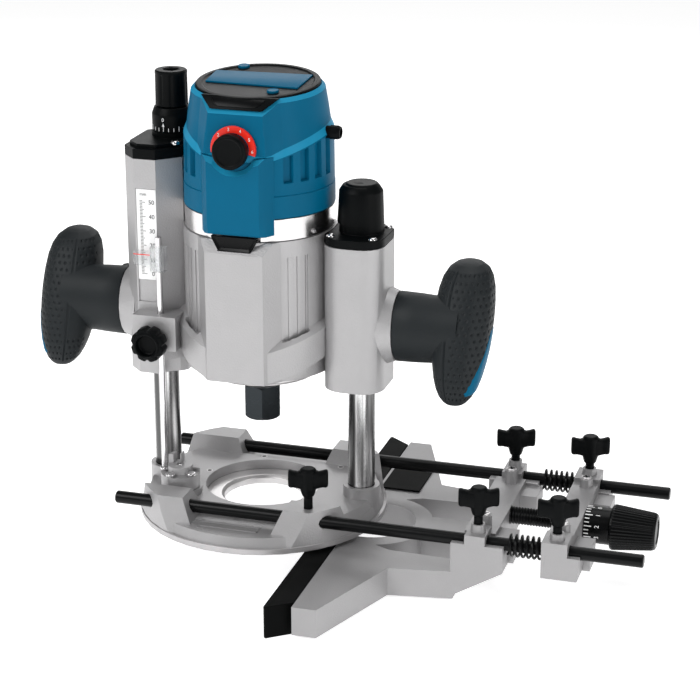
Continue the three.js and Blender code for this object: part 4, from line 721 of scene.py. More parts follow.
def shell_column(angle):
    """The shell's heights and radii at one angle, from its foot to the inside of its rim."""
    turn = abs(angle)
    sweep = blended(SWEEP_FRONT, SWEEP_SIDE, math.sin(share(turn, *SWEEP_ANGLES) * math.pi / 2))
    side_rim = RIM_SIDE - RIM_SLOPE * RIM_RADIUS * math.cos(math.radians(angle))
    rim = blended(NOTCH_FOOT, side_rim, share(turn, *NOTCH_ANGLES))
    in_slot = any(abs(turn - place) <= SLOT_HALF for place in SLOT_ANGLES)
    sunk = SLOT_DEPTH if in_slot else 0.0
    lower = [
        (SHELL_FOOT, SHELL_RADIUS - 1.2), (SHELL_FOOT + 0.3, SHELL_RADIUS - 0.3),
        (SHELL_FOOT + 1.0, SHELL_RADIUS),
        (SHELL_SEAM - 0.5, SHELL_RADIUS - 0.1), (SHELL_SEAM, SHELL_RADIUS - 0.7),
        (SHELL_SEAM + 0.5, SHELL_RADIUS - 0.4), (SLOT_FOOT - 0.4, SHELL_RADIUS - 0.5),
        (SLOT_FOOT + 0.5, SHELL_RADIUS - 0.5 - sunk), (sweep - 1.6, SHELL_RADIUS - 0.8 - sunk),
        (sweep - 0.8, SHELL_RADIUS - 0.8), (sweep, SHELL_RADIUS - 1.0),
    ]
    shoulder = sweep + SWEEP_RISE
    upper = [
        (shoulder, UPPER_RADIUS),
        (blended(shoulder, rim - RIM_BEVEL, 0.5), blended(UPPER_RADIUS, RIM_RADIUS, 0.45)),
        (rim - RIM_BEVEL, RIM_RADIUS), (rim, RIM_RADIUS - 2.4), (rim - 0.4, RIM_RADIUS - 3.2),
        (rim - 4.0, RIM_RADIUS - 3.4),
    ]
    return lower + [(z, panelled(angle, radius + inward, z) - inward)
                    for (z, radius), inward in zip(upper, RIM_INWARD)]


shell_turns = [i * 360 / SHELL_SIDES - 180 for i in range(SHELL_SIDES)]
columns = [shell_column(turn) for turn in shell_turns]
shell_rows = [[(radius * math.sin(math.radians(turn)), -radius * math.cos(math.radians(turn)), z)
               for turn, (z, radius) in zip(shell_turns, level)] for level in zip(*columns)]
shell_skin = grid(shell_rows)
# Faces on the sweep's bevel and on the rim's chamfer take the paler blue: a painted highlight.
for index, face in enumerate(shell_skin.faces):
    if index // SHELL_SIDES in PAINTED_HIGHLIGHT_LEVELS:
        face.material_index = 1
shell_skin = capped(shell_skin, shell_rows)

# The apron below the dial: a bevelled shield with a cup for the dial's lower half and a turned-in foot.
APRON_FOOT = 211.7
APRON_BAND = 219.0
APRON_EDGE = 261.0
APRON_INSET = 1.6
DIAL_Z = 269.0
CUP_STEPS = 16
CUP_FIRST = 3


def apron_section(y, half, edge_top, cup_radius, foot):
    start = math.asin(min((edge_top - DIAL_Z) / cup_radius, -0.05))
    cup = [(cup_radius * math.cos(a), y, DIAL_Z + cup_radius * math.sin(a)) for a in
           (start - (math.pi + 2 * start) * k / CUP_STEPS for k in range(CUP_STEPS + 1))]
    return [(-half, y, foot), (half, y, foot), (half, y, APRON_BAND), (half, y, edge_top + APRON_INSET), *cup,
            (-half, y, edge_top + APRON_INSET), (-half, y, APRON_BAND)]


apron_rows = [apron_section(-54.0, 18.0, APRON_EDGE - 2.0, 17.4, APRON_FOOT),
              apron_section(-50.8, 21.2, APRON_EDGE + 1.6, 14.6, APRON_FOOT),
              apron_section(-44.0, 25.0, APRON_EDGE + 1.6, 14.6, APRON_FOOT)]
apron_rows[0][:2] = [(x, y + APRON_INSET, z) for x, y, z in apron_rows[0][:2]]
apron_skin = grid(apron_rows)
across = len(apron_rows[0])
# The bevel round the dial's cup takes the paler blue as well: a painted highlight.
for index, face in enumerate(apron_skin.faces):
    if index < across and CUP_FIRST <= index <= CUP_FIRST + CUP_STEPS + 1:
        face.material_index = 1
apron_skin = capped(apron_skin, apron_rows)

satin_blue = surface("satin_blue_nylon", "005C7D", 0.44, grain=0.14, grain_size=0.7, mottle=0.06,
                     specular=0.08)
# A paler copy of the satin blue, a painted highlight for the bevels.
painted_highlight_blue = surface("satin_blue_painted_highlight", "1A86AC", 0.44, grain=0.12, grain_size=0.7, mottle=0.05,
                     specular=0.12)
motor_shell = made("motor_shell", gathered(shell_skin, apron_skin), satin_blue, painted_highlight_blue, sharp=22)
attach(motor_shell, "carriage")
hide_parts("motor_housing")


# Cable gland: a short sleeve of black nylon pushed into the shell's side, where the cord would leave. It has the
# same dull moulded skin as the covers.
dressed("cable_gland", moulded_nylon, 0.6, 3)


# Top cap: a black disc of glass-filled nylon, tilted a little to the front, with a sloping visor in the shell's
# notch and a glossy window in it. A bare blue label plate and two blue screw pockets lie in its face.
# The window is polished ABS, which shows a small clear highlight.
def eased(bm, width, segments=3, angle=30):
    """Rounds every edge that turns more than the angle."""
    bmesh.ops.recalc_face_normals(bm, faces=bm.faces)
    sharp = [edge for edge in bm.edges
             if len(edge.link_faces) == 2 and edge.calc_face_angle(0) > math.radians(angle)]
    bmesh.ops.bevel(bm, geom=sharp, offset=width, segments=segments, profile=0.5,
                    affect="EDGES", clamp_overlap=True)
    return bm


def joined(front, rear):
    """A closed solid between two outlines with as many points each."""
    bm = bmesh.new()
    first = [bm.verts.new(point) for point in front]
    second = [bm.verts.new(point) for point in rear]
    bm.faces.new(first)
    bm.faces.new(second)
    for k in range(len(first)):
        j = (k + 1) % len(first)
        bm.faces.new([first[k], first[j], second[j], second[k]])
    return bm


CAP_RADIUS = 41.4
CAP_MIDDLE = 303.9
CAP_TILT = math.atan(0.075)
CAP_DEPTH = 6.0
cap_tilt = Matrix.Translation((0, 0, CAP_MIDDLE)) @ Matrix.Rotation(CAP_TILT, 4, "X")
cap_profile = [(0, -0.9), (36.6, -0.9), (37.6, 0.0), (CAP_RADIUS, -0.3), (CAP_RADIUS, -CAP_DEPTH),
               (0, -CAP_DEPTH)]
cap_disc = moved(lathe(softened(cap_profile, 0.9, 5), 128), cap_tilt)
VISOR_TOP = Vector((26.5, -38.0, 301.0))
VISOR_FOOT = Vector((17.6, -45.9, 293.6))
VISOR_BACK = Vector((0, 14, -2))
visor_front = [Vector((side * corner.x, corner.y, corner.z)) for side, corner in
               ((-1, VISOR_TOP), (1, VISOR_TOP), (1, VISOR_FOOT), (-1, VISOR_FOOT))]
visor = eased(joined(visor_front, [corner + VISOR_BACK for corner in visor_front]), 0.7, 2)
top_cap = made("cap_disc", gathered(cap_disc, visor), moulded_nylon, sharp=28)
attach(top_cap, "carriage")
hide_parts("top_cap")

polished_abs = surface("polished_black_abs", "050607", 0.28, grain=0.06, mottle=0.1, specular=0.14)
WINDOW_HALF = 15.5
WINDOW_PROUD = 0.5
window_edge = [(-WINDOW_HALF - 3, 0.18), (-WINDOW_HALF, 0.62), (-WINDOW_HALF + 3.5, 0.8),
               (WINDOW_HALF - 3.5, 0.8), (WINDOW_HALF, 0.62), (WINDOW_HALF + 3, 0.18)]
slope_start = Vector((0, VISOR_TOP.y, VISOR_TOP.z))
slope_run = Vector((0, VISOR_FOOT.y, VISOR_FOOT.z)) - slope_start
slope_out = Vector((0, slope_run.z, -slope_run.y)).normalized()
window_line = [slope_start + Vector((x, 0, 0)) + slope_run * down for x, down in window_edge]
window = eased(joined([spot + slope_out * WINDOW_PROUD for spot in window_line],
                      [spot - slope_out * WINDOW_PROUD for spot in window_line]), 0.3, 2)
visor_window = made("visor_panel", window, polished_abs, sharp=28)
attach(visor_window, "carriage")

LABEL_CORNERS = ((-33.8, -9.0), (31.0, -12.0), (31.7, 19.5), (-35.2, 16.5))
LABEL_Z = (-1.6, 0.1)
POCKETS = ((-20.5, 30.0, -0.3), (17.4, -21.5, -0.3))
label = eased(prism(LABEL_CORNERS, *LABEL_Z), 0.25, 2)
pocket = lathe(softened([(0, 0.75), (2.9, 0.75), (3.6, 1.0), (4.0, 0.5), (4.0, -1), (0, -1)], 0.2, 2), 32)
pockets = repeated(pocket, POCKETS, satin_blue)
cap_label = made("cap_label_plate", moved(gathered(label, pockets), cap_tilt), satin_blue)
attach(cap_label, "carriage")


# Speed dial: a black nylon thumb wheel pushed on the control's shaft, and behind its upper half a red ring
# printed on the shell, with white figures. The inks are flat and even, without grain.
def lettered(text, size, depth, matrix):
    """Plain figures for a scale, raised a little, as a mesh in machine millimetres."""
    curve = bpy.data.curves.new("figure", "FONT")
    curve.body = text
    curve.size = size
    curve.extrude = depth
    curve.align_x = "CENTER"
    curve.align_y = "CENTER"
    holder = bpy.data.objects.new("figure", curve)
    bpy.context.scene.collection.objects.link(holder)
    bpy.context.view_layer.update()
    mesh = bpy.data.meshes.new_from_object(holder)
    bm = bmesh.new()
    bm.from_mesh(mesh)
    bpy.data.objects.remove(holder)
    bpy.data.curves.remove(curve)
    bpy.data.meshes.remove(mesh)
    return moved(bm, matrix)


FACING_FRONT = Matrix.Rotation(math.pi / 2, 4, "X")
DIAL_RADIUS = 11.6
DIAL_BACK = 54.3
DIAL_FACE = 61.0
dial_profile = [(0, DIAL_BACK - 5), (2.5, DIAL_BACK - 5), (2.5, DIAL_BACK), (DIAL_RADIUS, DIAL_BACK),
                (DIAL_RADIUS, DIAL_FACE - 1.2), (DIAL_RADIUS - 1.2, DIAL_FACE), (9.2, DIAL_FACE),
                (8.6, DIAL_FACE - 0.5), (0, DIAL_FACE - 0.5)]
dial_place = Matrix.Translation((0, 0, DIAL_Z)) @ FACING_FRONT
dial_body = moved(lathe(softened(dial_profile, 0.5, 4), 96), dial_place)
speed_knob = made("speed_knob", dial_body, moulded_nylon)
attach(speed_knob, "dial")
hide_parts("speed_dial")

red_ink = surface("red_printing_ink", "F0240A", 0.45, grain=0.05, mottle=0.05)
white_ink = surface("white_printing_ink", "F4F4F4", 0.5, grain=0.03, mottle=0.02)
SCALE_RADII = (11.0, 15.3)
SCALE_ARC = (-14, 190)
SCALE_STEPS = 48
SCALE_FACE = 51.6
SCALE_DEPTH = 2
scale_loop = [(SCALE_RADII[0], SCALE_FACE), (SCALE_RADII[1], SCALE_FACE),
              (SCALE_RADII[1], SCALE_FACE - SCALE_DEPTH), (SCALE_RADII[0], SCALE_FACE - SCALE_DEPTH)]
scale_skin = moved(swept(scale_loop, *SCALE_ARC, SCALE_STEPS), dial_place)
dial_scale = made("dial_scale", scale_skin, red_ink)
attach(dial_scale, "carriage")

INK_PROUD = 0.02
FIGURE_RADIUS = 13.3
FIGURE_ANGLES = (172, 137, 102, 67, 32, -3)
figures = []
for index, degrees in enumerate(FIGURE_ANGLES):
    turn = math.radians(degrees)
    spot = (FIGURE_RADIUS * math.cos(turn), -SCALE_FACE - INK_PROUD, DIAL_Z + FIGURE_RADIUS * math.sin(turn))
    figures.append(lettered(str(index + 1), 3.1, 0.12, Matrix.Translation(spot) @ FACING_FRONT))
dial_figures = made("dial_figures", gathered(*figures), white_ink)
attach(dial_figures, "carriage")


# Spindle lock button: a glossy black ABS key under the motor housing, wider at the top, with a shallow tray for
# the finger. It slides in to hold the spindle.
BUTTON_CORNERS = ((-16.0, 210.9), (16.0, 210.9), (11.0, 201.0), (-11.0, 201.0))
BUTTON_Y = (-54.0, -49.4)
TRAY_EDGE = 1.9
TRAY_SUNK = (0, 1.6, 0.4)
key = joined(*[[(x, y, z) for x, z in BUTTON_CORNERS] for y in BUTTON_Y])
bmesh.ops.recalc_face_normals(key, faces=key.faces)
key.faces.ensure_lookup_table()
key_face = key.faces[0]
bmesh.ops.inset_region(key, faces=[key_face], thickness=TRAY_EDGE, depth=0)
bmesh.ops.translate(key, verts=key_face.verts, vec=TRAY_SUNK)
lock_key = made("lock_button_key", eased(key, 0.45, 2), polished_abs, sharp=40)
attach(lock_key, "lock_button")
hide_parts("spindle_lock_button")


# Grips: soft thermoplastic rubber moulded over a nylon core, leaning back on oval stems, with a parting crease
# and rows of dimples on the outer half. A blue nylon inlay is set low on the outside.
# The rubber takes the light softly; its skin is drawn with a grain of 0.7 mm.
GRIP_HEIGHT = 142.2
GRIP_CENTRE = 141.5
GRIP_HALF = (20.5, 22.0, 44.8)
GRIP_LEAN = 0.42
GRIP_STATIONS = ((-1, 0.02), (-0.995, 0.16), (-0.975, 0.31), (-0.94, 0.42), (-0.87, 0.56), (-0.76, 0.69),
                 (-0.61, 0.80), (-0.42, 0.89), (-0.24, 0.95), (-0.04, 0.985), (0.15, 1.0), (0.3, 0.995),
                 (0.43, 0.98), (0.62, 0.93), (0.78, 0.83), (0.89, 0.68), (0.96, 0.46), (0.985, 0.3),
                 (0.997, 0.14), (1, 0.02))
GRIP_SQUARENESS = 0.035
GRIP_ROWS = 180
GRIP_ACROSS = 270
DIMPLE_PITCH = 4.9
DIMPLE_ROW_SHARE = 0.87
DIMPLE_RADIUS = 1.1
DIMPLE_DEPTH = 1.0
DIMPLE_REACH = (1.75, 2.9)
DIMPLE_WAIST = 0.52
DIMPLE_ENDS = 0.93
CREASE_ANGLE = 1.95
CREASE_HALF = 0.06
CREASE_DEPTH = 0.9
CREASE_END = 0.9
STEM_HALF = (20.2, 24.2)
STEM_PROFILE = ((97.3, 0.97), (98.1, 1.0), (112.0, 0.985), (122.0, 0.96), (132.0, 0.99), (GRIP_CENTRE, 1.0))
STEM_SIDES = 72
INLAY_Z = (105.0, 146.0)
INLAY_FRONT = (-0.95, -0.12)
INLAY_REAR = 1.35
INLAY_CORNER = 4
INLAY_STEPS = 24
INLAY_PROUD = 0.35
INLAY_SUNK = -0.6


def grip_width(station):
    for (low, first), (high, second) in zip(GRIP_STATIONS, GRIP_STATIONS[1:]):
        if low <= station <= high:
            return blended(first, second, share(station, low, high))
    return GRIP_STATIONS[-1][1]


def hollow(angle, station):
    """How deep the crease and the dimples are at a place on the grip."""
    depth = 0.0
    from_crease = abs(abs(angle) - CREASE_ANGLE)
    if abs(station) < CREASE_END:
        depth = CREASE_DEPTH * max(0.0, 1 - from_crease / CREASE_HALF)
    reach = DIMPLE_REACH[1] if abs(station) > DIMPLE_WAIST else DIMPLE_REACH[0]
    if abs(angle) < reach and abs(station) < DIMPLE_ENDS and from_crease > 2 * CREASE_HALF:
        height = station * GRIP_HALF[2]
        row_pitch = DIMPLE_PITCH * DIMPLE_ROW_SHARE
        row = round(height / row_pitch)
        along = angle * (GRIP_HALF[0] + GRIP_HALF[1]) / 2
        near = along / DIMPLE_PITCH - (0.5 if row % 2 else 0.0)
        distance = math.hypot((near - round(near)) * DIMPLE_PITCH, height - row * row_pitch) / DIMPLE_RADIUS
        depth += DIMPLE_DEPTH * max(0.0, 1 - distance * distance)
    return depth


def grip_point(angle, station, proud):
    width = grip_width(station)
    height = station * GRIP_HALF[2]
    squareness = max(1 + GRIP_SQUARENESS * math.cos(4 * angle), 1)
    x = GRIP_HALF[0] * width * math.cos(angle) / squareness
    y = GRIP_HALF[1] * width * math.sin(angle) / squareness
    out = 1 + proud / (math.hypot(x, y) or 1.0)
    return (GRIP_CENTRE + x * out, y * out + GRIP_LEAN * height, GRIP_HEIGHT + height)


def grip_skin():
    """The right grip: its head, closer in rows towards the ends, and its stem."""
    stations = [blended(math.sin(math.pi * (k / GRIP_ROWS - 0.5)), 2 * k / GRIP_ROWS - 1, 0.7)
                for k in range(GRIP_ROWS + 1)]
    angles = [2 * math.pi * i / GRIP_ACROSS - math.pi for i in range(GRIP_ACROSS)]
    rows = [[grip_point(angle, station, -hollow(angle, station)) for angle in angles] for station in stations]
    turns = [2 * math.pi * k / STEM_SIDES for k in range(STEM_SIDES)]
    stem_rows = [[(x, STEM_HALF[0] * width * math.cos(a), GRIP_HEIGHT + STEM_HALF[1] * width * math.sin(a))
                  for a in turns] for x, width in STEM_PROFILE]
    return gathered(capped(grid(rows), rows), capped(grid(stem_rows), stem_rows))


def inlay_skin():
    rows = []
    for level in range(INLAY_STEPS + 1):
        z = blended(*INLAY_Z, level / INLAY_STEPS)
        front = blended(*INLAY_FRONT, share(z, INLAY_Z[0] + INLAY_CORNER, INLAY_Z[1]))
        edge = level in (0, INLAY_STEPS)
        rows.append([grip_point(blended(front, INLAY_REAR, k / INLAY_STEPS), (z - GRIP_HEIGHT) / GRIP_HALF[2],
                                INLAY_SUNK if edge or k in (0, INLAY_STEPS) else INLAY_PROUD)
                     for k in range(INLAY_STEPS + 1)])
    return grid(rows, wrap=False)


def mirrored(bm):
    moved(bm, Matrix.Scale(-1, 4, (1, 0, 0)))
    bmesh.ops.reverse_faces(bm, faces=bm.faces)
    return bm


overmoulded_rubber = surface("overmoulded_rubber", "12181B", 0.55, grain=0.22, grain_size=0.7, mottle=0.12,
                             specular=0.3)
for side, turned_over in (("right", lambda bm: bm), ("left", mirrored)):
    cover = made("grip_" + side + "_cover", turned_over(grip_skin()), overmoulded_rubber, sharp=50)
    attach(cover, "carriage")
    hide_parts("grip_" + side)
    inlay = made("grip_" + side + "_inlay", turned_over(inlay_skin()), satin_blue, sharp=50)
    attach(inlay, "carriage")
    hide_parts("grip_inlay_" + side)


# Trigger and plunge lever: the switch in the right grip and the lever that locks the left column, both moulded
# in black nylon. The lever is screwed to a clamp inside the housing.
for node in ("plunge_lock_lever", "power_trigger"):
    dressed(node, moulded_nylon, 0.6, 3)


# Fine depth knob: a tall black nylon knob with ten flutes and a hexagon socket in its top. It turns on the
# threaded rod behind the left housing's cap.
# The tree draws a turned wall in by waves round Z, as deep as the depth that each point carries.
ribs, given = sized_tree("ribs", Ribs="Float", Bias="Float", Gain="Float", Power="Float", Finish="Material")
spot = added(ribs, "GeometryNodeInputPosition")
split = added(ribs, "ShaderNodeSeparateXYZ", {"Vector": spot.outputs["Position"]})
angle = added(ribs, "ShaderNodeMath", {0: split.outputs["Y"], 1: split.outputs["X"]}, operation="ARCTAN2")
around = added(ribs, "ShaderNodeMath", {0: angle.outputs["Value"], 1: given["Ribs"]}, operation="MULTIPLY")
swing = added(ribs, "ShaderNodeMath", {0: around.outputs["Value"]}, operation="COSINE")
wave = added(ribs, "ShaderNodeMath", {0: swing.outputs["Value"], 1: given["Gain"], 2: given["Bias"]},
             operation="MULTIPLY_ADD")
crest = added(ribs, "ShaderNodeMath", {0: wave.outputs["Value"], 1: 0.0}, operation="MAXIMUM")
shaped = added(ribs, "ShaderNodeMath", {0: crest.outputs["Value"], 1: given["Power"]}, operation="POWER")
depth = added(ribs, "GeometryNodeInputNamedAttribute", {"Name": "depth"}, data_type="FLOAT")
sunk = added(ribs, "ShaderNodeMath", {0: shaped.outputs["Value"], 1: depth.outputs["Attribute"]},
             operation="MULTIPLY")
inward = added(ribs, "ShaderNodeMath", {0: sunk.outputs["Value"], 1: -1.0}, operation="MULTIPLY")
level = added(ribs, "ShaderNodeCombineXYZ", {"X": split.outputs["X"], "Y": split.outputs["Y"]})
outward = added(ribs, "ShaderNodeVectorMath", {0: level.outputs["Vector"]}, operation="NORMALIZE")
offset = added(ribs, "ShaderNodeVectorMath", {0: outward.outputs["Vector"], "Scale": inward.outputs["Value"]},
               operation="SCALE")
drawn = added(ribs, "GeometryNodeSetPosition",
              {"Geometry": given["Geometry"], "Offset": offset.outputs["Vector"]})
ended(ribs, drawn.outputs["Geometry"], given["Finish"])


def ribbed(levels, sides, finish, count, bias=0.0, gain=1.0, power=1.0, inner=()):
    """A turned skin from foot to top with waves drawn into it; levels are radii, heights and wave depths."""
    turns = [2 * math.pi * k / sides for k in range(sides)]
    rows = [[(radius * math.cos(a), radius * math.sin(a), z) for a in turns] for radius, z, _ in levels]
    rows += inner
    skin = grid(rows)
    layer = skin.verts.layers.float.new("depth")
    depths = [depth for _, _, depth in levels] + [0.0] * len(inner)
    for index, vert in enumerate(skin.verts):
        vert[layer] = depths[index // sides]
    result = grown(ribs, capped(skin, rows), Ribs=float(count), Bias=bias, Gain=gain, Power=power, Finish=finish)
    result.verts.layers.float.remove(result.verts.layers.float["depth"])
    return result


def hexed(half, z, sides):
    row = []
    for k in range(sides):
        a = 2 * math.pi * k / sides
        radius = half / math.cos((a % (math.pi / 3)) - math.pi / 6)
        row.append((radius * math.cos(a), radius * math.sin(a), z))
    return row


FINE_X, FINE_Y = -65.0, 9.0
FINE_RADIUS = 11.1
FINE_FOOT, FINE_TOP = 281.0, 305.5
FINE_FLUTES = 10
FINE_SIDES = 120
HEX_HALF = 4.6
HEX_DEPTH = 8.0
fine_levels = [(3.0, FINE_FOOT - 0.2, 0), (FINE_RADIUS - 0.8, FINE_FOOT, 0), (FINE_RADIUS, FINE_FOOT + 0.8, 0),
               (FINE_RADIUS - 0.1, FINE_FOOT + 2.5, 0.5), (FINE_RADIUS - 0.3, FINE_TOP - 3.2, 0.6),
               (FINE_RADIUS - 0.1, FINE_TOP - 2.2, 0), (FINE_RADIUS - 0.2, FINE_TOP - 0.8, 0),
               (FINE_RADIUS - 1.0, FINE_TOP, 0)]
socket = [hexed(HEX_HALF + 1.0, FINE_TOP, FINE_SIDES), hexed(HEX_HALF, FINE_TOP - 1.0, FINE_SIDES),
          hexed(HEX_HALF, FINE_TOP - HEX_DEPTH, FINE_SIDES)]
fine_skin = ribbed(fine_levels, FINE_SIDES, moulded_nylon, FINE_FLUTES, power=2.0, inner=socket)
fine_knob = made("fine_knob", shifted(fine_skin, FINE_X, FINE_Y), moulded_nylon, sharp=28)
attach(fine_knob, "fine_knob")
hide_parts("depth_fine_knob")


# Fine depth scale: a black nylon ring under the knob that turns by hand, with white printed ticks, every third
# one taller, four figures and a small arrow.
RING_RADIUS = 13.7
RING_BORE = 3.4
RING_SHOULDER = 11.9
RING_WALL = 11.4
RING_Z = (264.6, 280.7)
ring_profile = [(RING_BORE, RING_Z[0]), (RING_RADIUS, RING_Z[0]), (RING_RADIUS, RING_Z[0] + RING_WALL),
                (RING_SHOULDER, RING_Z[1]), (RING_BORE, RING_Z[1]), (RING_BORE, RING_Z[0])]
ring_skin = shifted(lathe(softened(ring_profile, 0.4, 3), 96), FINE_X, FINE_Y)
scale_ring = made("fine_ring", ring_skin, moulded_nylon)
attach(scale_ring, "fine_ring")
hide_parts("depth_scale_ring")

RING_TICKS = 24
RING_START = math.radians(-95)
TICK_Z = (RING_Z[0] + 0.8, RING_Z[0] + 3.2)
TICK_DEEP, TICK_PROUD = 0.3, 0.12
TICK_WIDTH = 0.45
tick_turn = 2 * math.pi / RING_TICKS
tick = box((-TICK_DEEP, TICK_PROUD), (-TICK_WIDTH / 2, TICK_WIDTH / 2), (0, TICK_Z[1] - TICK_Z[0]))
tick_places = [(RING_RADIUS * math.cos(tick_turn * k), RING_RADIUS * math.sin(tick_turn * k), TICK_Z[0])
               for k in range(RING_TICKS)]
ring_parts = [spun(repeated(tick, tick_places, white_ink, turn=tick_turn, longer=(0, 0, 0.5), every=3),
                   math.degrees(RING_START))]
for k, figure in enumerate(("0", "1", "2", "3")):
    spot = Matrix.Translation((-1.5, -RING_RADIUS - INK_PROUD, RING_Z[0] + 8.6)) @ FACING_FRONT
    ring_parts.append(lettered(figure, 3.4, 0.12, Matrix.Rotation(math.pi / 2 * k, 4, "Z") @ spot))
arrow = prism([(-0.9, 0), (0.9, 0), (0, 2.4)], -0.12, 0.12)
arrow_place = Matrix.Translation((-1.3, -RING_RADIUS - INK_PROUD, RING_Z[0] + 4.2))
ring_parts.append(moved(arrow, arrow_place @ FACING_FRONT))
ring_marks = made("fine_ring_marks", shifted(gathered(*ring_parts), FINE_X, FINE_Y), white_ink)
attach(ring_marks, "fine_ring")


# Depth ruler: a white plate let into the left housing, printed with a tick each millimetre and a figure every
# ten. The ink stands a hair above the plate, so that it shows.
dressed("ruler_plate", white_ink, 0)
RULER_FACE = -28.05
RULER_ZERO = 172.1
RULER_LENGTH = 52
RULER_TICK_X = -75.6
RULER_TICK = 2.0
RULER_LINE = 0.16
ruler_tick = box((0, RULER_TICK), (-0.06, 0.2), (-RULER_LINE, RULER_LINE))
ruler_places = [(RULER_TICK_X, RULER_FACE, RULER_ZERO + step) for step in range(RULER_LENGTH)]
marks = [repeated(ruler_tick, ruler_places, dark_ink_and_shade, longer=(0.5, 0, 0), every=5,
                  longest=(0.5, 0, 0), seldom=10)]
for figure in range(0, 60, 10):
    spot = Matrix.Translation((-67.2, RULER_FACE, RULER_ZERO + figure)) @ FACING_FRONT
    marks.append(lettered(str(figure), 4.2, 0.08, spot))
marks.append(lettered("mm", 3.2, 0.06, Matrix.Translation((-73.0, RULER_FACE, 227.6)) @ FACING_FRONT))
ruler_marks = made("ruler_marks", gathered(*marks), dark_ink_and_shade)
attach(ruler_marks, "carriage")


# Depth pointer and rod: a clear polycarbonate slide with a red line across, which is read against the ruler, and
# the ground steel rod that it clips to. Clear plastic shows the ruler through it and a light edge.
clear_polycarbonate = surface("clear_polycarbonate", "F2F5F6", 0.08, grain=0.02, mottle=0.01)
clear_shader = clear_polycarbonate.node_tree.nodes["Principled BSDF"]
clear_shader.inputs["Transmission Weight"].default_value = 0.9
clear_shader.inputs["IOR"].default_value = 1.3
clear_shader.inputs["Alpha"].default_value = 0.55
LINE_X = (-80.2, -68.5)
LINE_Y = (-30.75, -30.55)
LINE_Z = (185.9, 186.5)
dressed("depth_pointer", clear_polycarbonate, 0.5, 3)
pointer_line = made("pointer_line", box(LINE_X, LINE_Y, LINE_Z), red_ink)
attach(pointer_line, "pointer")
dressed("depth_rod", ground_steel, 0)


# Depth clamp knob: a scalloped black nylon knob with a deep dish in its face, moulded on the screw that holds
# the depth rod in the left housing.
CLAMP_X, CLAMP_Z = -64.5, 128.7
CLAMP_RADIUS = 12.0
CLAMP_BACK, CLAMP_FACE = 41.2, 53.0
CLAMP_LOBES = 8
CLAMP_SIDES = 128
CLAMP_STEM = 2.4
clamp_levels = [(CLAMP_STEM, 34.0, 0), (CLAMP_STEM, CLAMP_BACK - 0.1, 0), (CLAMP_RADIUS - 2.2, CLAMP_BACK, 1.0),
                (CLAMP_RADIUS - 0.5, CLAMP_BACK + 0.7, 1.5), (CLAMP_RADIUS, CLAMP_BACK + 1.8, 1.6),
                (CLAMP_RADIUS, CLAMP_FACE - 3.0, 1.6), (CLAMP_RADIUS - 0.5, CLAMP_FACE - 1.9, 1.4),
                (CLAMP_RADIUS - 1.9, CLAMP_FACE - 1.4, 0.6), (9.4, CLAMP_FACE - 1.2, 0),
                (8.9, CLAMP_FACE - 0.2, 0), (8.3, CLAMP_FACE, 0), (7.5, CLAMP_FACE - 0.5, 0),
                (6.9, CLAMP_FACE - 4.2, 0), (6.2, CLAMP_FACE - 4.8, 0)]
clamp_skin = ribbed(clamp_levels, CLAMP_SIDES, moulded_nylon, CLAMP_LOBES, power=1.5)
clamp_place = Matrix.Translation((CLAMP_X, 0, CLAMP_Z)) @ FACING_FRONT
clamp_knob = made("clamp_knob", moved(clamp_skin, clamp_place), moulded_nylon, sharp=40)
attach(clamp_knob, "clamp_knob")
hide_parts("depth_clamp_knob")


# Guide rods: two long rods of drawn steel, blackened like the springs. They pass through the base's humps, are
# clamped there by wing screws, and carry the guide.
ROD_Y = 57.0
ROD_Z = 18.0
for node in ("guide_rod_front", "guide_rod_rear"):
    dressed(node, blackened_steel, 0)


# Guide castings: the fence carriage and the outer carriage that slide on the rods, cast in aluminium like the
# base and blasted. Their grey is a darker copy of the base's, painted shade against the light that the floor
# throws up on them.
guide_aluminium_painted_shade = surface("blasted_aluminium_painted_shade", "A09FA0", 0.46, 0.5, grain=0.6, grain_size=1.0,
                         mottle=0.07)
for node in ("fence_casting", "outer_carriage"):
    dressed(node, guide_aluminium_painted_shade, 0.9, 3)


# Fence strips and guide plate: black ABS strips fixed to the fence's face, where the wood runs, and the plate
# beside them. A matt mould leaves them flat and almost without highlight.
matt_abs = surface("matt_black_abs", "050606", 0.55, grain=0.15, mottle=0.12, specular=0.05)
for node in ("fence_strip_front", "fence_strip_rear", "guide_plate"):
    dressed(node, matt_abs, 0.4, 2)


# Guide springs: a coil of blackened wire round each rod, between the two saddles, which keeps the fine adjuster
# free of play. It shortens as the fence moves outwards.
SPRING_X = (187.1, 211.9)
SPRING_RADIUS = 6.9
SPRING_WIRE = 0.85
SPRING_END = 1.3
SPRING_TURNS = 6.0
SPRING_STEPS = 28
SPRING_SIDES = 8
for place, y in (("front", -ROD_Y), ("rear", ROD_Y)):
    wire = grown(coils, bmesh.new(), Turns=SPRING_TURNS, Steps=SPRING_STEPS, Radius=SPRING_RADIUS,
                 Length=SPRING_X[1] - SPRING_X[0] - 2 * SPRING_END, Wire=SPRING_WIRE, Sides=SPRING_SIDES,
                 Finish=blackened_steel)
    spring_start = Matrix.Translation((SPRING_X[0] + SPRING_END, y, ROD_Z))
    coil = made("guide_coil_" + place, moved(wire, spring_start @ Matrix.Rotation(math.pi / 2, 4, "Y")),
                blackened_steel)
    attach(coil, "outer")
    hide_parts("guide_spring_" + place)
    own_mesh(coil)


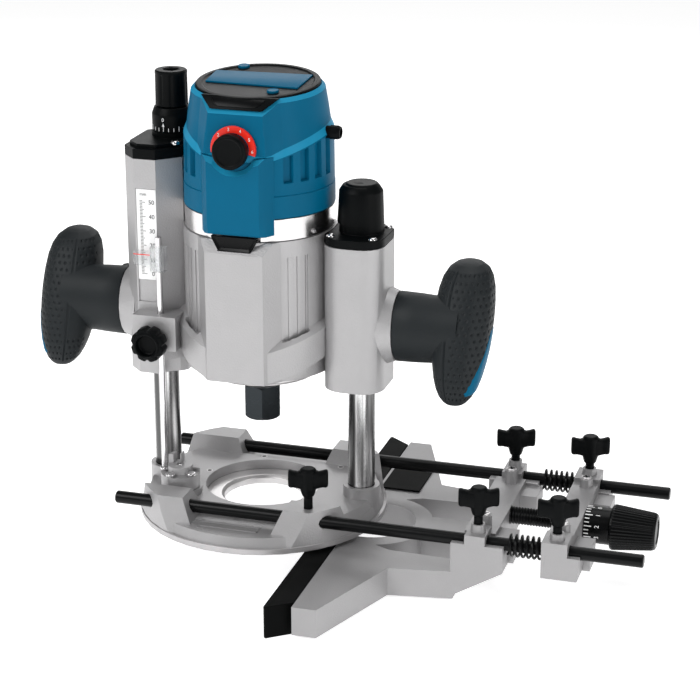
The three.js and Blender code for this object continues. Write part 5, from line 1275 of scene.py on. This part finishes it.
# Wing screws: two clamp the rods in the base and four the carriages on the rods. Each has a black nylon head
# with two thick wings, moulded on a steel screw, and turns on its own.
WING_SIDES = 16
WING_FULLNESS = 0.55
WING_DROP = 16.0
WING_STATIONS = ((0.0, 1.0, 14.6, 5.2), (4.5, 1.2, 14.2, 4.6), (7.0, 1.8, 13.4, 3.3), (9.5, 2.3, 13.9, 3.1),
                 (11.8, 2.2, 14.6, 3.2), (12.9, 2.6, 14.5, 2.7), (13.35, 3.4, 13.8, 1.7), (13.5, 4.6, 12.6, 0.7))
STEM_FOOT = 22.8
STEM_RADIUS = 3.0
HUB_RADIUS = 5.6


def wing_section(x, low, high, thick):
    """A rounded oblong across the wing at one station."""
    middle, half = (low + high) / 2, (high - low) / 2
    row = []
    for k in range(WING_SIDES):
        a = 2 * math.pi * k / WING_SIDES
        c, s = math.cos(a), math.sin(a)
        row.append((x, thick * math.copysign(abs(c) ** WING_FULLNESS, c),
                    middle + half * math.copysign(abs(s) ** WING_FULLNESS, s)))
    return row


def wing_screw(name, node, x, y, top, degrees):
    low = top - WING_DROP
    stations = [(-out, foot, high, thick) for out, foot, high, thick in reversed(WING_STATIONS[1:])]
    rows = [wing_section(*station) for station in stations + list(WING_STATIONS)]
    wings = shifted(capped(grid(rows), rows), 0, 0, low)
    profile = [(0, STEM_FOOT), (STEM_RADIUS, STEM_FOOT), (STEM_RADIUS, low - 4.5), (4.2, low - 3.5),
               (HUB_RADIUS, low + 1.5), (HUB_RADIUS, top - 1.2), (4.2, top), (0, top)]
    stem = lathe(softened(profile, 0.8, 4), 40)
    screw = made(name, shifted(spun(gathered(wings, stem), degrees), x, y), moulded_nylon, sharp=45)
    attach(screw, name)
    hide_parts(node)


BASE_WING_X, INNER_WING_X, OUTER_WING_X = 51.0, 168.2, 221.0
wing_screw("base_wing_front", "base_wing_screw_front", BASE_WING_X, -ROD_Y, 56.0, 17)
wing_screw("base_wing_rear", "base_wing_screw_rear", BASE_WING_X, ROD_Y, 56.0, 107)
wing_screw("inner_wing_front", "guide_wing_inner_front", INNER_WING_X, -ROD_Y, 57.0, 17)
wing_screw("inner_wing_rear", "guide_wing_inner_rear", INNER_WING_X, ROD_Y, 55.0, 17)
wing_screw("outer_wing_front", "guide_wing_outer_front", OUTER_WING_X, -ROD_Y, 56.0, 17)
wing_screw("outer_wing_rear", "guide_wing_outer_rear", OUTER_WING_X, ROD_Y, 55.0, 17)


# Fine adjuster: a threaded spindle with a ribbed and tapering knob on its end, in one piece of black ABS. It is
# turned by hand and moves the fence 2 mm a turn; its polished mould makes it the glossiest part of the guide.
ALONG_GUIDE = Matrix(((0, 0, 1, 0), (1, 0, 0, 0), (0, 1, 0, 0), (0, 0, 0, 1)))
ADJUSTER_Z = 13.8
ADJUSTER_RADIUS = 6.2
NECK_RADIUS = 5.8
THREAD_PITCH = 2.0
THREAD_DEPTH = 0.7
THREAD_X = (160.0, 229.0)
THREAD_SIDES = 36
THREAD_STEPS = 6
KNOB_BACK, KNOB_END = 247.3, 278.0
KNOB_RIBS = 40
KNOB_SIDES = 240
adjuster_place = Matrix.Translation((0, 0, ADJUSTER_Z)) @ ALONG_GUIDE


def thread_radius(x, turn):
    phase = (x / THREAD_PITCH - turn) % 1.0
    return ADJUSTER_RADIUS - 0.1 - THREAD_DEPTH * abs(2 * phase - 1)


thread_count = int((THREAD_X[1] - THREAD_X[0]) / THREAD_PITCH * THREAD_STEPS)
thread_rows = []
for step in range(thread_count + 1):
    x = blended(*THREAD_X, step / thread_count)
    radii = [thread_radius(x, k / THREAD_SIDES) for k in range(THREAD_SIDES)]
    turns = [2 * math.pi * k / THREAD_SIDES for k in range(THREAD_SIDES)]
    thread_rows.append([(radius * math.cos(a), radius * math.sin(a), x) for radius, a in zip(radii, turns)])
thread = capped(grid(thread_rows), thread_rows)
knob_levels = [(5.0, KNOB_BACK, 0), (14.2, KNOB_BACK, 0), (15.1, KNOB_BACK + 0.5, 0),
               (15.5, KNOB_BACK + 1.6, 0.1), (15.5, KNOB_BACK + 2.6, 0.7), (12.9, KNOB_END - 3.0, 0.7),
               (12.5, KNOB_END - 1.6, 0.2), (11.9, KNOB_END - 0.5, 0), (11.0, KNOB_END, 0),
               (8.6, KNOB_END - 0.1, 0), (8.2, KNOB_END - 0.7, 0)]
knob_skin = ribbed(knob_levels, KNOB_SIDES, polished_abs, KNOB_RIBS, bias=0.5, gain=-0.5)
NECK_END = KNOB_BACK + 1
neck = lathe([(0, THREAD_X[1]), (NECK_RADIUS, THREAD_X[1]), (NECK_RADIUS, NECK_END), (0, NECK_END)], 40)
adjuster_skin = moved(gathered(thread, knob_skin, neck), adjuster_place)
adjuster = made("fine_adjuster", adjuster_skin, polished_abs, sharp=40)
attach(adjuster, "adjuster")
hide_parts("fine_adjust_knob")


# Adjuster scale: a glossy black ring that is set to zero by hand, with thirty white printed ticks, every third
# one longer, and ten figures that read along the guide.
dressed("fine_adjust_scale", polished_abs, 0.4, 2)
DRUM_RADIUS = 12.6
DRUM_TICKS = 30
DRUM_FIGURES = 10
DRUM_TICK_X = 230.2
DRUM_TICK = 3.2
DRUM_LONG_TICK = 5.0
DRUM_TICK_WIDTH = 0.7
drum_turn = 2 * math.pi / DRUM_TICKS
drum_tick = box((-TICK_DEEP, TICK_PROUD), (-DRUM_TICK_WIDTH / 2, DRUM_TICK_WIDTH / 2), (0, DRUM_TICK))
drum_places = [(DRUM_RADIUS * math.cos(drum_turn * k), DRUM_RADIUS * math.sin(drum_turn * k), DRUM_TICK_X)
               for k in range(DRUM_TICKS)]
drum_ticks = repeated(drum_tick, drum_places, white_ink, turn=drum_turn, every=3,
                      longer=(0, 0, DRUM_LONG_TICK / DRUM_TICK - 1))
drum_start = adjuster_place @ Matrix.Rotation(math.pi / 2, 4, "Z")
drum_marks = [moved(drum_ticks, drum_start)]
for k in range(DRUM_FIGURES):
    turn = Matrix.Translation((0, 0, ADJUSTER_Z)) @ Matrix.Rotation(2 * math.pi * k / DRUM_FIGURES, 4, "X")
    spot = turn @ Matrix.Translation((239.0, 0, DRUM_RADIUS)) @ Matrix.Rotation(math.pi / 2, 4, "Z")
    drum_marks.append(lettered(str(k), 4.2, 0.1, spot))
scale_marks = made("adjuster_marks", gathered(*drum_marks), white_ink)
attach(scale_marks, "adjuster_ring")


# Guide screws: low cross heads of turned metal in the bosses beside the wing screws, two in each casting, which
# are screwed down from above.
GUIDE_SCREW_Y = 40.0
GUIDE_SCREW_Z = 30.2
for name, body, x in (("guide_screws_inner", "fence", 169.0), ("guide_screws_outer", "outer", 221.8)):
    screw_places = ((x, -GUIDE_SCREW_Y, GUIDE_SCREW_Z), (x, GUIDE_SCREW_Y, GUIDE_SCREW_Z))
    cross_heads(name, body, screw_places, 3.4, 1.1, turned_aluminium)
